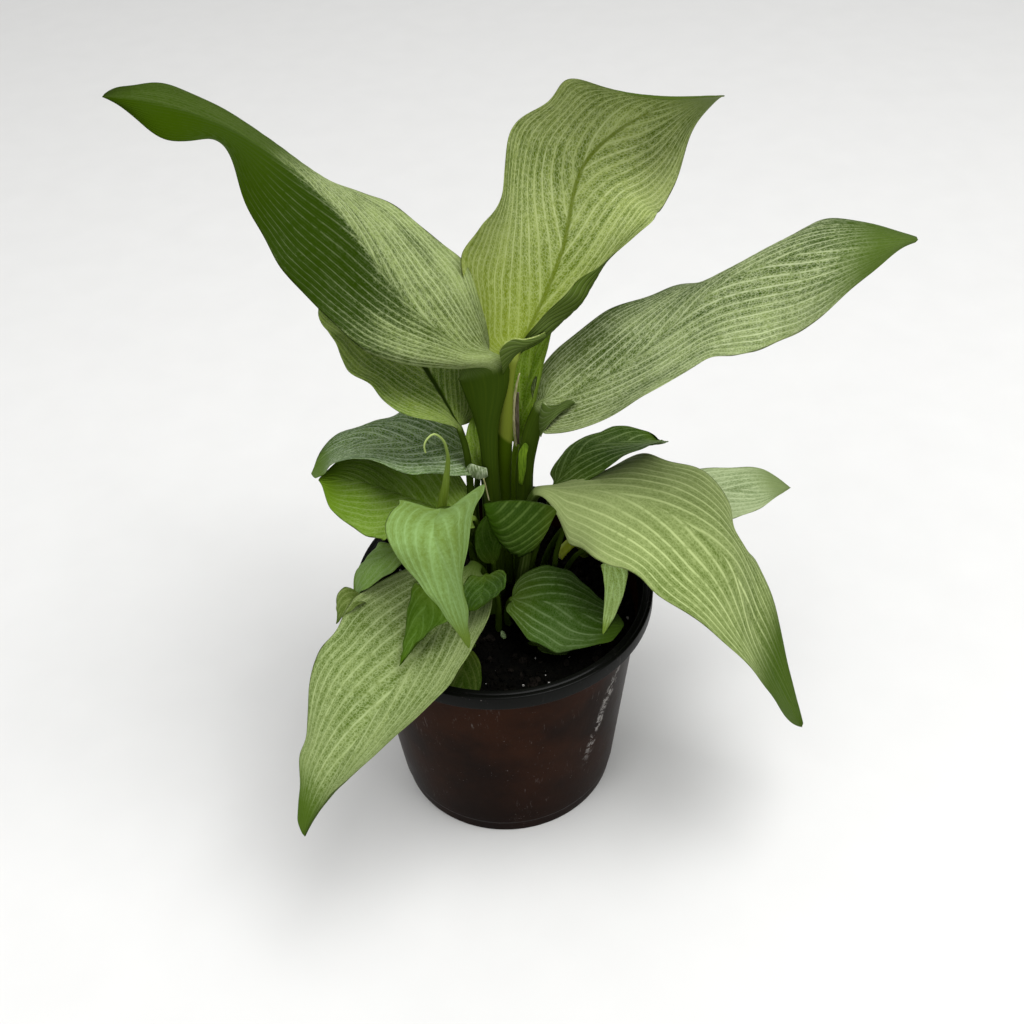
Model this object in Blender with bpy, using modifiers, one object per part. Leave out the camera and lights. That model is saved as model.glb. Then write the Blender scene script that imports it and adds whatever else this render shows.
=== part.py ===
"""Potted peace lily: a young plant with patterned leaves, in a thin black nursery pot.

Metres, +Z up. The origin is the centre of the pot's flat foot, on the surface it stands on.
Each leaf grew as one piece, stalk and blade, so each is one closed solid lofted along its midrib.
Positions along the plant are given in millimetres and turned to metres as each piece is made.
"""

import bmesh
import bpy
import numpy as np

MM = 0.001
CONTACT_GAP = 0.3 * MM       # left between pieces that touch

# ---------------------------------------------------------------- driving dimensions
POT_HEIGHT = 88 * MM
RIM_RADIUS = 52.5 * MM       # outside of the rolled rim
RIM_DEPTH = 5.5 * MM         # height of the rolled rim
RIM_LIP = 3.7 * MM           # width of the rim's top ring
FOOT_RADIUS = 39 * MM
NECK_RADIUS = 48.4 * MM      # outside of the wall just under the rim
POT_WALL = 0.8 * MM
POT_FLOOR = 1.2 * MM
FOOT_ROUND = 0.5 * MM        # small round where the wall meets the floor, and at the rim's edges
POT_FACETS = 48

DRAIN_HOLES = 5
DRAIN_HOLE_RADIUS = 4 * MM
DRAIN_RING_RADIUS = 24 * MM

SOIL_TOP = 74 * MM
STALK_FOOT_Z = 74.3          # mm: stalks stand on the soil with the contact gap

BLADE_THICKNESS = 0.6 * MM
BLADE_CUP = 0.55             # share of a blade's lift that is lost towards its midrib

# Loft steps for a small, a middling and a large leaf: across half a ring, along the blade, along the stalk
RING_STEPS = (4, 6, 6)
BLADE_STEPS = (10, 13, 17)
STALK_STEPS = (4, 5, 7)


def clear_scene():
    """Take every object out of the scene."""
    for thing in list(bpy.data.objects):
        bpy.data.objects.remove(thing, do_unlink=True)


def new_collection(name):
    """A collection linked to the scene."""
    collection = bpy.data.collections.new(name)
    bpy.context.scene.collection.children.link(collection)
    return collection


def new_material(name, color, roughness, metallic=0.0):
    """A Principled BSDF material of one colour."""
    material = bpy.data.materials.new(name)
    material.use_nodes = True
    shader = material.node_tree.nodes["Principled BSDF"]
    shader.inputs["Base Color"].default_value = (*color, 1.0)
    shader.inputs["Roughness"].default_value = roughness
    shader.inputs["Metallic"].default_value = metallic
    return material


def new_object(name, data, collection, color, roughness):
    """An object with a material of its own, in a collection."""
    thing = bpy.data.objects.new(name, data)
    data.materials.append(new_material(name, color, roughness))
    collection.objects.link(thing)
    return thing


def turned(name, profile, collection, color, roughness):
    """A solid of revolution from (radius, height) pairs, starting and ending on the axis."""
    mesh = bpy.data.meshes.new(name)
    points = [(radius, 0.0, height) for radius, height in profile]
    edges = [(k, k + 1) for k in range(len(points) - 1)]
    mesh.from_pydata(points, edges, [])
    thing = new_object(name, mesh, collection, color, roughness)
    screw = thing.modifiers.new("Turn", "SCREW")
    screw.steps = POT_FACETS
    screw.render_steps = POT_FACETS
    screw.use_merge_vertices = True
    screw.merge_threshold = 0.00001
    screw.use_smooth_shade = True
    return thing


def wall_radius(height, outside=True):
    """Radius of the pot's tapered wall at a height."""
    taper = (NECK_RADIUS - FOOT_RADIUS) / (POT_HEIGHT - RIM_DEPTH)
    radius = FOOT_RADIUS + taper * height
    return radius if outside else radius - POT_WALL


def build_pot(parts, cutters):
    """The nursery pot: a tapered thin wall, a rolled rim and a floor with drainage holes."""
    rim_foot = POT_HEIGHT - RIM_DEPTH
    lip_inside = RIM_RADIUS - RIM_LIP
    profile = [
        (0, POT_FLOOR),
        (wall_radius(POT_FLOOR, outside=False) - FOOT_ROUND, POT_FLOOR),
        (wall_radius(POT_FLOOR + FOOT_ROUND, outside=False), POT_FLOOR + FOOT_ROUND),
        (wall_radius(rim_foot, outside=False), rim_foot),
        (lip_inside, POT_HEIGHT - FOOT_ROUND),
        (lip_inside + FOOT_ROUND, POT_HEIGHT),
        (RIM_RADIUS - FOOT_ROUND, POT_HEIGHT),
        (RIM_RADIUS, POT_HEIGHT - FOOT_ROUND),
        (RIM_RADIUS, rim_foot + FOOT_ROUND),
        (RIM_RADIUS - FOOT_ROUND, rim_foot),
        (wall_radius(rim_foot), rim_foot),
        (wall_radius(2 * FOOT_ROUND), 2 * FOOT_ROUND),
        (wall_radius(0) - FOOT_ROUND, 0),
        (0, 0),
    ]
    pot = turned("nursery_pot", profile, parts, (0.012, 0.010, 0.010), 0.35)
    for k in range(DRAIN_HOLES):
        angle = 2 * np.pi * (k + 0.5) / DRAIN_HOLES
        bpy.ops.mesh.primitive_cylinder_add(vertices=24, radius=DRAIN_HOLE_RADIUS, depth=6 * POT_FLOOR)
        cutter = bpy.context.active_object
        cutter.name = f"drain_hole_{k + 1}"
        cutter.location = (DRAIN_RING_RADIUS * np.cos(angle), DRAIN_RING_RADIUS * np.sin(angle), 0)
        cutter.hide_render = True
        cutter.display_type = "WIRE"
        for home in list(cutter.users_collection):
            home.objects.unlink(cutter)
        cutters.objects.link(cutter)
        cut = pot.modifiers.new(cutter.name, "BOOLEAN")
        cut.operation = "DIFFERENCE"
        cut.solver = "EXACT"
        cut.object = cutter


def build_soil(parts):
    """The potting soil: it fills the pot up to the stalks' feet."""
    bottom = POT_FLOOR + CONTACT_GAP
    corner = bottom + FOOT_ROUND
    profile = [
        (0, SOIL_TOP),
        (wall_radius(SOIL_TOP, outside=False) - CONTACT_GAP, SOIL_TOP),
        (wall_radius(corner, outside=False) - CONTACT_GAP, corner),
        (wall_radius(bottom, outside=False) - CONTACT_GAP - FOOT_ROUND, bottom),
        (0, bottom),
    ]
    turned("potting_soil", profile, parts, (0.018, 0.012, 0.009), 0.95)


def smooth_path(stations, count):
    """Cubic Hermite curve through the stations, with slopes from their neighbours' differences.

    Every column of a station is interpolated over the straight distance between stations.
    """
    stations = np.asarray(stations, float)
    steps = np.linalg.norm(np.diff(stations[:, :3], axis=0), axis=1)
    along = np.concatenate([[0.0], np.cumsum(steps)])
    slope = np.gradient(stations, along, axis=0, edge_order=2 if len(stations) > 2 else 1)
    where = np.linspace(0, along[-1], count)
    k = np.clip(np.searchsorted(along, where, side="right") - 1, 0, len(along) - 2)
    span = (along[k + 1] - along[k])[:, None]
    u = ((where - along[k]) / (along[k + 1] - along[k]))[:, None]
    near = (1 + 2 * u) * (1 - u) ** 2 * stations[k] + u * (1 - u) ** 2 * span * slope[k]
    far = u * u * (3 - 2 * u) * stations[k + 1] + u * u * (u - 1) * span * slope[k + 1]
    return near + far


def at_fractions(path, fractions):
    """Points of a path at the given fractions of its length."""
    steps = np.linalg.norm(np.diff(path[:, :3], axis=0), axis=1)
    along = np.concatenate([[0.0], np.cumsum(steps)])
    columns = [np.interp(fractions, along / along[-1], column) for column in path.T]
    return np.stack(columns, axis=-1)


def smoothstep(value):
    """0 below 0, 1 above 1, and an even S-curve between."""
    value = np.clip(value, 0, 1)
    return value * value * (3 - 2 * value)


def leaf_rings(heading, half_widths, base, tip, stalk_radius, foot, blade, size):
    """Rings of points from the stalk's foot to the blade's tip, and the tip itself.

    A ring starts on the leaf's left, runs over its upper face to the right and back underneath.
    On the stalk it is a circle. On the blade each half is lifted from the midrib by its own angle,
    and its width follows t^base * (1-t)^tip, scaled to reach the half width where that is greatest.
    """
    half_ring, blade_steps, stalk_steps = RING_STEPS[size], BLADE_STEPS[size], STALK_STEPS[size]
    even = np.linspace(0, 1, blade_steps + 1)
    t_blade = 0.65 * even + 0.35 * (1 - np.cos(np.pi * even)) / 2
    foot = [(*point, *blade[0][3:]) for point in foot]
    whole = smooth_path(foot + blade, 400)
    join = np.argmin(np.linalg.norm(whole[:, :3] - np.array(blade[0][:3]), axis=1))
    stalk = at_fractions(whole[:join + 1], np.linspace(0, 1, stalk_steps + 1))[:-1]
    path = np.concatenate([stalk, at_fractions(smooth_path(blade, 200), t_blade)])
    spine = path[:, :3] * MM

    forward = np.gradient(spine, axis=0)
    forward /= np.linalg.norm(forward, axis=1, keepdims=True)
    level = np.array([np.sin(np.radians(heading)), -np.cos(np.radians(heading)), 0.0])
    across = level - (forward @ level)[:, None] * forward
    across /= np.linalg.norm(across, axis=1, keepdims=True)
    upward = np.cross(across, forward)

    t = np.concatenate([np.zeros(stalk_steps), t_blade])
    widest = base / (base + tip)
    fullness = (t / widest) ** base * ((1 - t) / (1 - widest)) ** tip
    bladeness = smoothstep(t / 0.12)[:, None, None]
    radius = (stalk_radius * MM * (1 - 0.45 * t))[:, None, None]

    order = np.concatenate([np.arange(half_ring + 1), np.arange(half_ring - 1, 0, -1)])
    face = np.where(np.arange(2 * half_ring) <= half_ring, 1.0, -1.0)[None, :, None]
    u = (2 * order / half_ring - 1)[None, :]
    around = (np.pi * order / half_ring)[None, :, None]
    circle = radius * (-np.cos(around) * across[:, None] + face * np.sin(around) * upward[:, None])

    lift = np.radians(np.where(u < 0, path[:, 3, None], path[:, 4, None]))
    lift = (lift * (1 - BLADE_CUP * (1 - np.abs(u))))[:, :, None] * (u != 0)[:, :, None]
    half = np.where(u < 0, half_widths[0], half_widths[1]) * MM * fullness[:, None]
    side = np.sign(u)[:, :, None]
    outward = side * np.cos(lift) * across[:, None] + np.sin(lift) * upward[:, None]
    outward = outward * np.abs(side)
    normal = -side * np.sin(lift) * across[:, None] + np.cos(lift) * upward[:, None]
    inside = (np.abs(u) < 0.999)[:, :, None]
    rib = ((u == 0) * (face[:, :, 0] < 0))[:, :, None]
    depth = BLADE_THICKNESS / 2 * inside + 0.6 * radius * rib
    section = (np.abs(u) * half)[:, :, None] * outward + face * depth * normal

    rings = spine[:, None] + (1 - bladeness) * circle + bladeness * section
    rings[0, :, 2] = spine[0, 2]          # the foot is level with the soil it stands on
    return rings[:-1], spine[-1]


def build_leaf(name, parts, color=(0.06, 0.13, 0.02), **shape):
    """One leaf as a closed loft: triangles between its rings, a fan at the tip, a cap at the foot.

    The upper and the lower face split their quads along the same diagonals, so that the thin blade
    never cuts through itself where it is twisted.
    """
    rings, tip = leaf_rings(**shape)
    count, around = rings.shape[:2]
    points = np.concatenate([rings.reshape(-1, 3), tip[None]])
    faces = []
    for ring in range(count - 1):
        for k in range(around):
            here, there = ring * around + k, ring * around + (k + 1) % around
            if k < around // 2:
                faces += [(here, there, there + around), (here, there + around, here + around)]
            else:
                faces += [(here, there, here + around), (there, there + around, here + around)]
    last = (count - 1) * around
    faces += [(last + k, last + (k + 1) % around, len(points) - 1) for k in range(around)]
    faces.append(tuple(range(around - 1, -1, -1)))
    mesh = bpy.data.meshes.new(name)
    mesh.from_pydata(points.tolist(), [], faces)
    new_object(name, mesh, parts, color, 0.5)
    mesh.shade_smooth()


def build_tube(name, parts, points, radii, color, count=12):
    """A round stalk along a smooth curve, its radius running evenly between the two end values."""
    path = smooth_path([(*point, 0.0) for point in points], count)[:, :3]
    curve = bpy.data.curves.new(name, "CURVE")
    curve.dimensions = "3D"
    curve.bevel_depth = MM
    curve.bevel_resolution = 2
    curve.use_fill_caps = True
    spline = curve.splines.new("POLY")
    spline.points.add(count - 1)
    for k, (place, radius) in enumerate(zip(path, np.linspace(*radii, count))):
        spline.points[k].co = (*(place * MM), 1.0)
        spline.points[k].radius = radius
    new_object(name, curve, parts, color, 0.5)


def build_pellet(parts):
    """A grain of plant feed that lies on the soil."""
    width, length = 0.9 * MM, 2.0 * MM
    mesh = bpy.data.meshes.new("feed_pellet")
    form = bmesh.new()
    bmesh.ops.create_uvsphere(form, u_segments=12, v_segments=8, radius=1.0)
    bmesh.ops.scale(form, vec=(width, length, width), verts=form.verts)
    form.to_mesh(mesh)
    form.free()
    pellet = new_object("feed_pellet", mesh, parts, (0.35, 0.38, 0.20), 0.8)
    pellet.location = (0.6 * MM, -14 * MM, SOIL_TOP + CONTACT_GAP + width)
    pellet.rotation_euler = (0, 0, np.radians(15))


def build_tall_leaves(parts):
    """The three leaves that stand above the rest, and the newest one, still rolled, behind them.

    foot: points of the stalk; blade: midrib stations, each with the lift of its left and right half
    in degrees, seen from the stalk with the upper face up. All lengths are millimetres.
    """
    build_leaf(
        "leaf_tall_left", parts, heading=178, half_widths=(28.5, 28), base=0.8, tip=1.0,
        stalk_radius=2.3, size=2,
        foot=[(0, 8, STALK_FOOT_Z), (0, 8.5, 110), (1, 10.5, 145)],
        blade=[(2.5, 12, 168, 20, 80), (-20, 13, 190, -14, 40), (-39, 14, 223, -25, -10),
               (-69, 25, 245, 10, -10), (-96, 19, 256, -80, 40)])
    build_leaf(
        "leaf_tall_back", parts, heading=80, half_widths=(31.5, 32.5), base=0.4, tip=0.65,
        stalk_radius=2.1, size=2,
        foot=[(5, 12, STALK_FOOT_Z), (5.3, 12, 110), (6.8, 12.5, 145)],
        blade=[(9.5, 14.5, 176, 15, 40), (26, 38, 190, 48, 50), (36, 52, 215, 42, 16),
               (53, 52, 228, 28, -10), (73, 38, 238, 4, -7)])
    build_leaf(
        "leaf_tall_right", parts, heading=12, half_widths=(26.5, 28.5), base=0.4, tip=0.55,
        stalk_radius=2.3, size=2,
        foot=[(10, 8.5, STALK_FOOT_Z), (11, 8.5, 110), (12.5, 9.5, 135)],
        blade=[(17, 11, 152, 16, -6), (47, 10, 170, 4, 17), (72, 12, 192, -36, 0),
               (97, 1, 208, -18, -13), (120, -8, 214, -26, 27)])
    build_leaf(
        "leaf_rolled_new", parts, heading=75, half_widths=(8, 9), base=0.6, tip=1.0,
        stalk_radius=1.3, size=1,
        foot=[(10, 15, STALK_FOOT_Z), (10, 17, 105)],
        blade=[(9.7, 19.5, 131, 60, 65), (13, 23, 150.5, 50, 68), (18, 27, 165.5, 40, 65),
               (24, 31, 177.5, 30, 50)])


def build_left_leaves(parts):
    """The leaves half way up on the left, and the long one that hangs over the rim in front."""
    build_leaf(
        "leaf_back_left", parts, heading=155, half_widths=(26, 26), base=0.65, tip=0.65,
        stalk_radius=1.2, size=2,
        foot=[(-5, 9, STALK_FOOT_Z), (-7, 8.5, 110)],
        blade=[(-9, 12, 145, 50, 11), (-17, 17, 162, 1, 10), (-29, 32, 176, 3, 8),
               (-46, 48, 182, -2, 6)])
    build_leaf(
        "leaf_side_left_upper", parts, heading=172, half_widths=(21, 21), base=0.54, tip=0.95,
        stalk_radius=1.2, size=1,
        foot=[(-5, 15, STALK_FOOT_Z), (-6, 19, 105)],
        blade=[(-9, 22, 128, 20, 0), (-25, 18, 136, 16, -6), (-43, 19, 137.5, 23, -10),
               (-59, 15, 128, -5, 40)])
    build_leaf(
        "leaf_side_left_lower", parts, heading=185, half_widths=(20, 19), base=0.65, tip=0.86,
        stalk_radius=1.2, size=1,
        foot=[(-10, 7, STALK_FOOT_Z), (-14, 4, 105)],
        blade=[(-18, 2, 121, 17, 36), (-31, 6, 125, -12, 28), (-43, 6, 131, -21, 20),
               (-56, 9, 130, -15, 11)])
    build_leaf(
        "leaf_nodding_front", parts, heading=-100, half_widths=(17.5, 14.5), base=0.36, tip=1.3,
        stalk_radius=1.2, size=1,
        foot=[(-7.5, 4, STALK_FOOT_Z), (-9, 3, 108)],
        blade=[(-16, -16, 135, 36, 26), (-18, -31, 139, 40, -8), (-14, -43, 125, 54, -14),
               (-10, -49, 108, 15, -8)])
    build_leaf(
        "leaf_drooping_left", parts, heading=-135, half_widths=(23.5, 26), base=0.57, tip=0.9,
        stalk_radius=1.8, size=2,
        foot=[(-3, -2, STALK_FOOT_Z), (-4, -3, 90)],
        blade=[(-7, -6, 102, 20, 10), (-22, -31, 96, 26, 26), (-38, -53, 90, 28, 21),
               (-53, -67, 77, 46, 0), (-65, -76, 57, 64, 14)])


def build_right_leaves(parts):
    """The long leaf that arches over the rim on the right, and the smaller ones about it."""
    build_leaf(
        "leaf_arching_right", parts, heading=-25, half_widths=(29, 28.5), base=0.62, tip=0.9,
        stalk_radius=1.6, size=2,
        foot=[(6, 1.5, STALK_FOOT_Z), (10, 2.5, 97)],
        blade=[(14.5, 3.5, 124, -39, -69), (51, -8, 125, -12, -9), (71, -24, 116, -19, -8),
               (82, -33, 88, -3, 15), (98, -44, 54, -8, 3)])
    build_leaf(
        "leaf_back_right", parts, heading=30, half_widths=(13.5, 13.5), base=0.6, tip=0.87,
        stalk_radius=1.1, size=1,
        foot=[(7.5, 4.5, STALK_FOOT_Z), (13.5, 5.6, 97), (17.8, 9.2, 109)],
        blade=[(21, 12, 118.5, -22, 2), (32, 23, 124.5, -20, 20), (48, 32, 120, 1, 28),
               (61, 44, 110, 45, 21)])
    build_leaf(
        "leaf_far_right", parts, heading=22, half_widths=(15, 15), base=0.66, tip=0.83,
        stalk_radius=1.1, size=1,
        foot=[(16, 16, STALK_FOOT_Z), (24, 17, 95)],
        blade=[(37, 20, 104, -12, 0), (61, 30, 97, -10, -9), (86, 38, 90, 5, -10),
               (111, 45, 83, 47, 14)])
    build_leaf(
        "leaf_round_right", parts, heading=-15, half_widths=(15, 16.5), base=0.48, tip=0.83,
        stalk_radius=1.1, size=1,
        foot=[(3, -8, STALK_FOOT_Z), (2.5, -9, 83)],
        blade=[(4, -10, 89, 27, 10), (18, -14, 90, 10, -16), (30, -19, 87.5, -8, -20),
               (40, -25.5, 88.8, -18, -7)])
    build_leaf(
        "leaf_narrow_right", parts, heading=-85, half_widths=(4.3, 3.6), base=0.4, tip=1.05,
        stalk_radius=0.8, size=0,
        foot=[(22, 10, STALK_FOOT_Z), (30, 2, 98)],
        blade=[(37, -12, 107, 4, -11), (37, -19, 95, -3, -4), (33, -27, 87, -8, 2)])


def build_small_leaves(parts):
    """The small leaves low in the crown."""
    build_leaf(
        "leaf_small_left", parts, heading=190, half_widths=(9.6, 9.9), base=0.58, tip=1.0,
        stalk_radius=0.9, size=0,
        foot=[(-13, 9, STALK_FOOT_Z), (-20, 5, 105)],
        blade=[(-31, -8, 113, 3, -1), (-42, -12, 109, 4, -17), (-47, -12, 98, 3, 15)])
    build_leaf(
        "leaf_small_front", parts, heading=-110, half_widths=(9.4, 8.7), base=0.4, tip=1.16,
        stalk_radius=0.9, size=0,
        foot=[(-6.5, -0.5, STALK_FOOT_Z), (-8.5, -0.5, 106), (-13, -13, 118)],
        blade=[(-21, -29, 115, 0, -30), (-26, -35, 103, 38, -36), (-32, -46, 99, 50, -32)])
    build_leaf(
        "leaf_round_front", parts, heading=-80, half_widths=(5.2, 5.2), base=0.5, tip=0.55,
        stalk_radius=0.7, size=0,
        foot=[(-9, -17, STALK_FOOT_Z)],
        blade=[(-12, -24, 83, 5, -1), (-12, -32, 81, 3, -1), (-14, -40, 77, 0, 0)])
    build_leaf(
        "leaf_cupped_front", parts, heading=-60, half_widths=(9, 6.8), base=0.4, tip=0.6,
        stalk_radius=0.9, size=0,
        foot=[(-1, -11, STALK_FOOT_Z), (-1, -13, 95)],
        blade=[(-4, -19, 109, 38, 28), (-5, -27, 110, 24, 0), (-8, -37, 112, 20, -18)])
    build_leaf(
        "leaf_folded_centre", parts, heading=110, half_widths=(6.8, 3), base=0.57, tip=0.6,
        stalk_radius=0.8, size=0,
        foot=[(0, -1, STALK_FOOT_Z), (-0.5, -1.5, 88)],
        blade=[(-1, -1.2, 97.5, 12, 38), (-0.5, 0.5, 107.5, -2, 31), (3, 3, 118, -14, 21)])
    build_leaf(
        "leaf_dark_centre", parts, heading=180, half_widths=(10, 12.5), base=0.4, tip=0.55,
        stalk_radius=0.9, size=0,
        foot=[(18, 4, STALK_FOOT_Z), (20, 2.5, 95)],
        blade=[(19, -3, 112, 9, 70), (10, -5, 115, -11, 72), (1, -6, 116, -45, 70)])
    build_leaf(
        "leaf_small_upright", parts, heading=100, half_widths=(3.4, 3.2), base=0.45, tip=0.6,
        stalk_radius=0.7, size=0,
        foot=[(-2.2, 4.2, STALK_FOOT_Z), (-2.8, 3.7, 110)],
        blade=[(-2, 2, 132, 31, 22), (-4, 5, 143, 17, 25), (-3, 6, 155, 7, 28)])
    build_leaf(
        "leaf_sliver_left", parts, heading=200, half_widths=(4.9, 4.9), base=0.58, tip=1.03,
        stalk_radius=0.7, size=0,
        foot=[(-14, -6, STALK_FOOT_Z), (-34, -9, 90)],
        blade=[(-46, -17, 97, 2, 11), (-49, -23, 99, 10, 2), (-53.5, -28, 95, 15, -6)])
    build_leaf(
        "leaf_under_round", parts, heading=-25, half_widths=(2.6, 2.6), base=0.5, tip=0.7,
        stalk_radius=0.6, size=0,
        foot=[(8, -17, STALK_FOOT_Z)],
        blade=[(12, -20, 76.8, 5, 5), (17, -23, 77.2, 5, 5), (23, -23, 76, 5, 5)])


def build_stalks(parts):
    """The thin shoot that bends over at its tip, and the stump of a stalk that was cut off."""
    build_tube(
        "sprout_hooked", parts,
        [(-13, -2, STALK_FOOT_Z), (-15.5, -2, 100), (-16.4, -2, 124), (-14.2, -3, 136.5),
         (-13, -4, 148.5), (-14.4, -5, 154.6), (-16.7, -6, 157), (-18.6, -7, 156), (-19.4, -7, 151)],
        (1.6, 0.6), (0.16, 0.30, 0.05), count=36)
    build_tube(
        "stalk_stub", parts,
        [(32, 24, STALK_FOOT_Z + 1.9), (29.5, 19, 86), (26, 13, 91.5), (21.2, 8.3, 89.8)],
        (2.0, 1.8), (0.26, 0.34, 0.03))


def main():
    """Build every piece of the potted plant."""
    clear_scene()
    parts = new_collection("potted_peace_lily")
    cutters = new_collection("cutters")
    build_pot(parts, cutters)
    build_soil(parts)
    build_tall_leaves(parts)
    build_left_leaves(parts)
    build_right_leaves(parts)
    build_small_leaves(parts)
    build_stalks(parts)
    build_pellet(parts)


main()
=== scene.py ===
import bpy
import numpy as np
from mathutils import Matrix, Vector


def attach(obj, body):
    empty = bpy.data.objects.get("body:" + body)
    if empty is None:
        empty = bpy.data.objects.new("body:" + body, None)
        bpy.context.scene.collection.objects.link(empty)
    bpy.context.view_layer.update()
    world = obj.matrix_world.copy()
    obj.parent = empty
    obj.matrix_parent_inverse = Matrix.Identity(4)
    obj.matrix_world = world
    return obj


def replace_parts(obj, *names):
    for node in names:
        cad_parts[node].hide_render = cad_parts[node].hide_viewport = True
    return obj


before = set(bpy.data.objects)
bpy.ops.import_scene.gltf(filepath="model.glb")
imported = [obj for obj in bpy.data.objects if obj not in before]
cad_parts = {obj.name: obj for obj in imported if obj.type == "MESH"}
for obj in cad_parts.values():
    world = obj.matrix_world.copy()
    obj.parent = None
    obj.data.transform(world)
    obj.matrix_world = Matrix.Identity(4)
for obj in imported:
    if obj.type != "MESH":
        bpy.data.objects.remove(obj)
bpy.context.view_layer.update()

# ------------------------------------------------------------------ nursery pot
# A thin tapered pot of black-brown recycled plastic, injection moulded in one piece with a
# rolled rim for stacking and five drainage holes in its floor. Handled, so it is scuffed.

MM = 0.001
POT_HEIGHT = 88.0            # lengths of the pot's profile are in millimetres
POT_FLOOR = 1.2
RIM_OUTSIDE = 52.5
RIM_FOOT = 82.5
LIP_INSIDE = 48.8
WALL = 0.8
FOOT_OUTSIDE = 39.0
NECK_OUTSIDE = 48.4
POT_SEGMENTS = 192
DRAIN_HOLES = 5
HOLE_RADIUS = 4.0
HOLE_RING = 24.0             # distance of each hole's middle from the pot's axis
FLOOR_LIFT = 0.4             # the floor stands this far off the ground, on a ring round the foot


class Value:
    """A number, colour or vector flowing through a material's nodes, with arithmetic on it.

    Arithmetic between values adds Math nodes, each with the operands' links or constants.
    """

    def __init__(self, nodes, socket):
        self.nodes = nodes
        self.socket = socket

    def math(self, operation, *others):
        """A Math node of this value and the others, in order."""
        return self.nodes.node("ShaderNodeMath", {"operation": operation},
                               dict(enumerate((self, *others))))

    def __add__(self, other):
        return self.math("ADD", other)

    def __radd__(self, other):
        return self.math("ADD", other)

    def __sub__(self, other):
        return self.math("SUBTRACT", other)

    def __rsub__(self, other):
        return self.nodes.number(other).math("SUBTRACT", self)

    def __mul__(self, other):
        return self.math("MULTIPLY", other)

    def __rmul__(self, other):
        return self.math("MULTIPLY", other)

    def __pow__(self, other):
        return self.math("POWER", other)

    def ramp(self, low, high):
        """0 below low, 1 above high (or the reverse where low is above high), smooth between."""
        if low < high:
            sockets = {"Value": self, "From Min": low, "From Max": high, "To Min": 0.0, "To Max": 1.0}
        else:
            sockets = {"Value": self, "From Min": high, "From Max": low, "To Min": 1.0, "To Max": 0.0}
        return self.nodes.node("ShaderNodeMapRange", {"interpolation_type": "SMOOTHSTEP"}, sockets)

    def __getitem__(self, axis):
        """X, Y or Z of a vector."""
        return self.nodes.node("ShaderNodeSeparateXYZ", {}, {0: self}, output=axis)


class Material:
    """A new material with a Principled shader, and one method that adds any other node."""

    def __init__(self, name):
        self.material = bpy.data.materials.new(name)
        self.material.use_nodes = True
        self.tree = self.material.node_tree
        self.shader = self.tree.nodes["Principled BSDF"]

    def feed(self, socket, value):
        """Link a value to a socket, or set the socket to a constant."""
        if isinstance(value, Value):
            self.tree.links.new(value.socket, socket)
        elif isinstance(value, tuple) and len(value) == 3 and socket.type == "RGBA":
            socket.default_value = (*value, 1.0)
        else:
            socket.default_value = value

    def node(self, kind, settings, sockets, output=0):
        """A node of a kind, its settings made first, then its sockets' links and constants."""
        made = self.tree.nodes.new(kind)
        for key, setting in settings.items():
            setattr(made, key, setting)
        for key, value in sockets.items():
            self.feed(made.inputs[key], value)
        return Value(self, made.outputs[output])

    def number(self, value):
        """A constant as a value."""
        made = self.tree.nodes.new("ShaderNodeValue")
        made.outputs[0].default_value = value
        return Value(self, made.outputs[0])

    def place(self):
        """Object coordinates, in metres."""
        return self.node("ShaderNodeTexCoord", {}, {}, output="Object")

    def stretched(self, vector, x, y, z):
        """A vector with each axis scaled."""
        return self.node("ShaderNodeVectorMath", {"operation": "MULTIPLY"}, {0: vector, 1: (x, y, z)})

    def vector(self, x, y, z):
        """A vector from three values."""
        return self.node("ShaderNodeCombineXYZ", {}, {0: x, 1: y, 2: z})

    def noise(self, where, scale, detail=2.0, roughness=0.5):
        """Noise from 0 to 1 about 0.5."""
        return self.node("ShaderNodeTexNoise", {},
                         {"Vector": where, "Scale": scale, "Detail": detail, "Roughness": roughness})

    def mix(self, factor, first, second):
        """One colour going over to another as the factor goes from 0 to 1."""
        made = self.tree.nodes.new("ShaderNodeMix")
        made.data_type = "RGBA"
        self.feed(made.inputs[0], factor)
        self.feed(made.inputs[6], first)
        self.feed(made.inputs[7], second)
        return Value(self, made.outputs[2])

    def bump(self, height, distance, strength=1.0):
        """Normals of a surface raised by height times distance, in metres."""
        return self.node("ShaderNodeBump", {},
                         {"Height": height, "Distance": distance, "Strength": strength})

    def finish(self, **sockets):
        """Set the Principled shader's sockets, named with underscores for spaces."""
        for key, value in sockets.items():
            self.feed(self.shader.inputs[key.replace("_", " ")], value)
        return self.material


def make_piece(name, points, faces, material, slot, **layers):
    """A mesh object from points in millimetres, riding on the plant's one body.

    Each layer, a vector for every point, becomes a point attribute of that name.
    """
    mesh = bpy.data.meshes.new(name)
    mesh.from_pydata((np.asarray(points) * MM).tolist(), [], faces)
    for key, values in layers.items():
        layer = mesh.attributes.new(key, "FLOAT_VECTOR", "POINT")
        layer.data.foreach_set("vector", np.asarray(values, np.float32).ravel())
    mesh.shade_smooth()
    mesh.materials.append(material)
    piece = bpy.data.objects.new(name, mesh)
    bpy.context.scene.collection.objects.link(piece)
    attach(piece, "root")
    return piece


def grid_faces(rows, columns):
    """Quads between neighbouring rings of points; each ring's last point is joined to its first."""
    across = np.arange(columns)
    here = (np.arange(rows - 1)[:, None] * columns + across).ravel()
    ahead = (np.arange(rows - 1)[:, None] * columns + (across + 1) % columns).ravel()
    return np.stack([here, ahead, ahead + columns, here + columns], axis=1).tolist()


def fan_faces(first, columns, pole, flipped=False):
    """Triangles from the ring of points that starts at first to one pole; flipped faces the other way."""
    ring = first + np.arange(columns)
    following = first + (np.arange(columns) + 1) % columns
    ends = (following, ring) if flipped else (ring, following)
    return np.stack([*ends, np.full(columns, pole)], axis=1).tolist()


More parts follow.
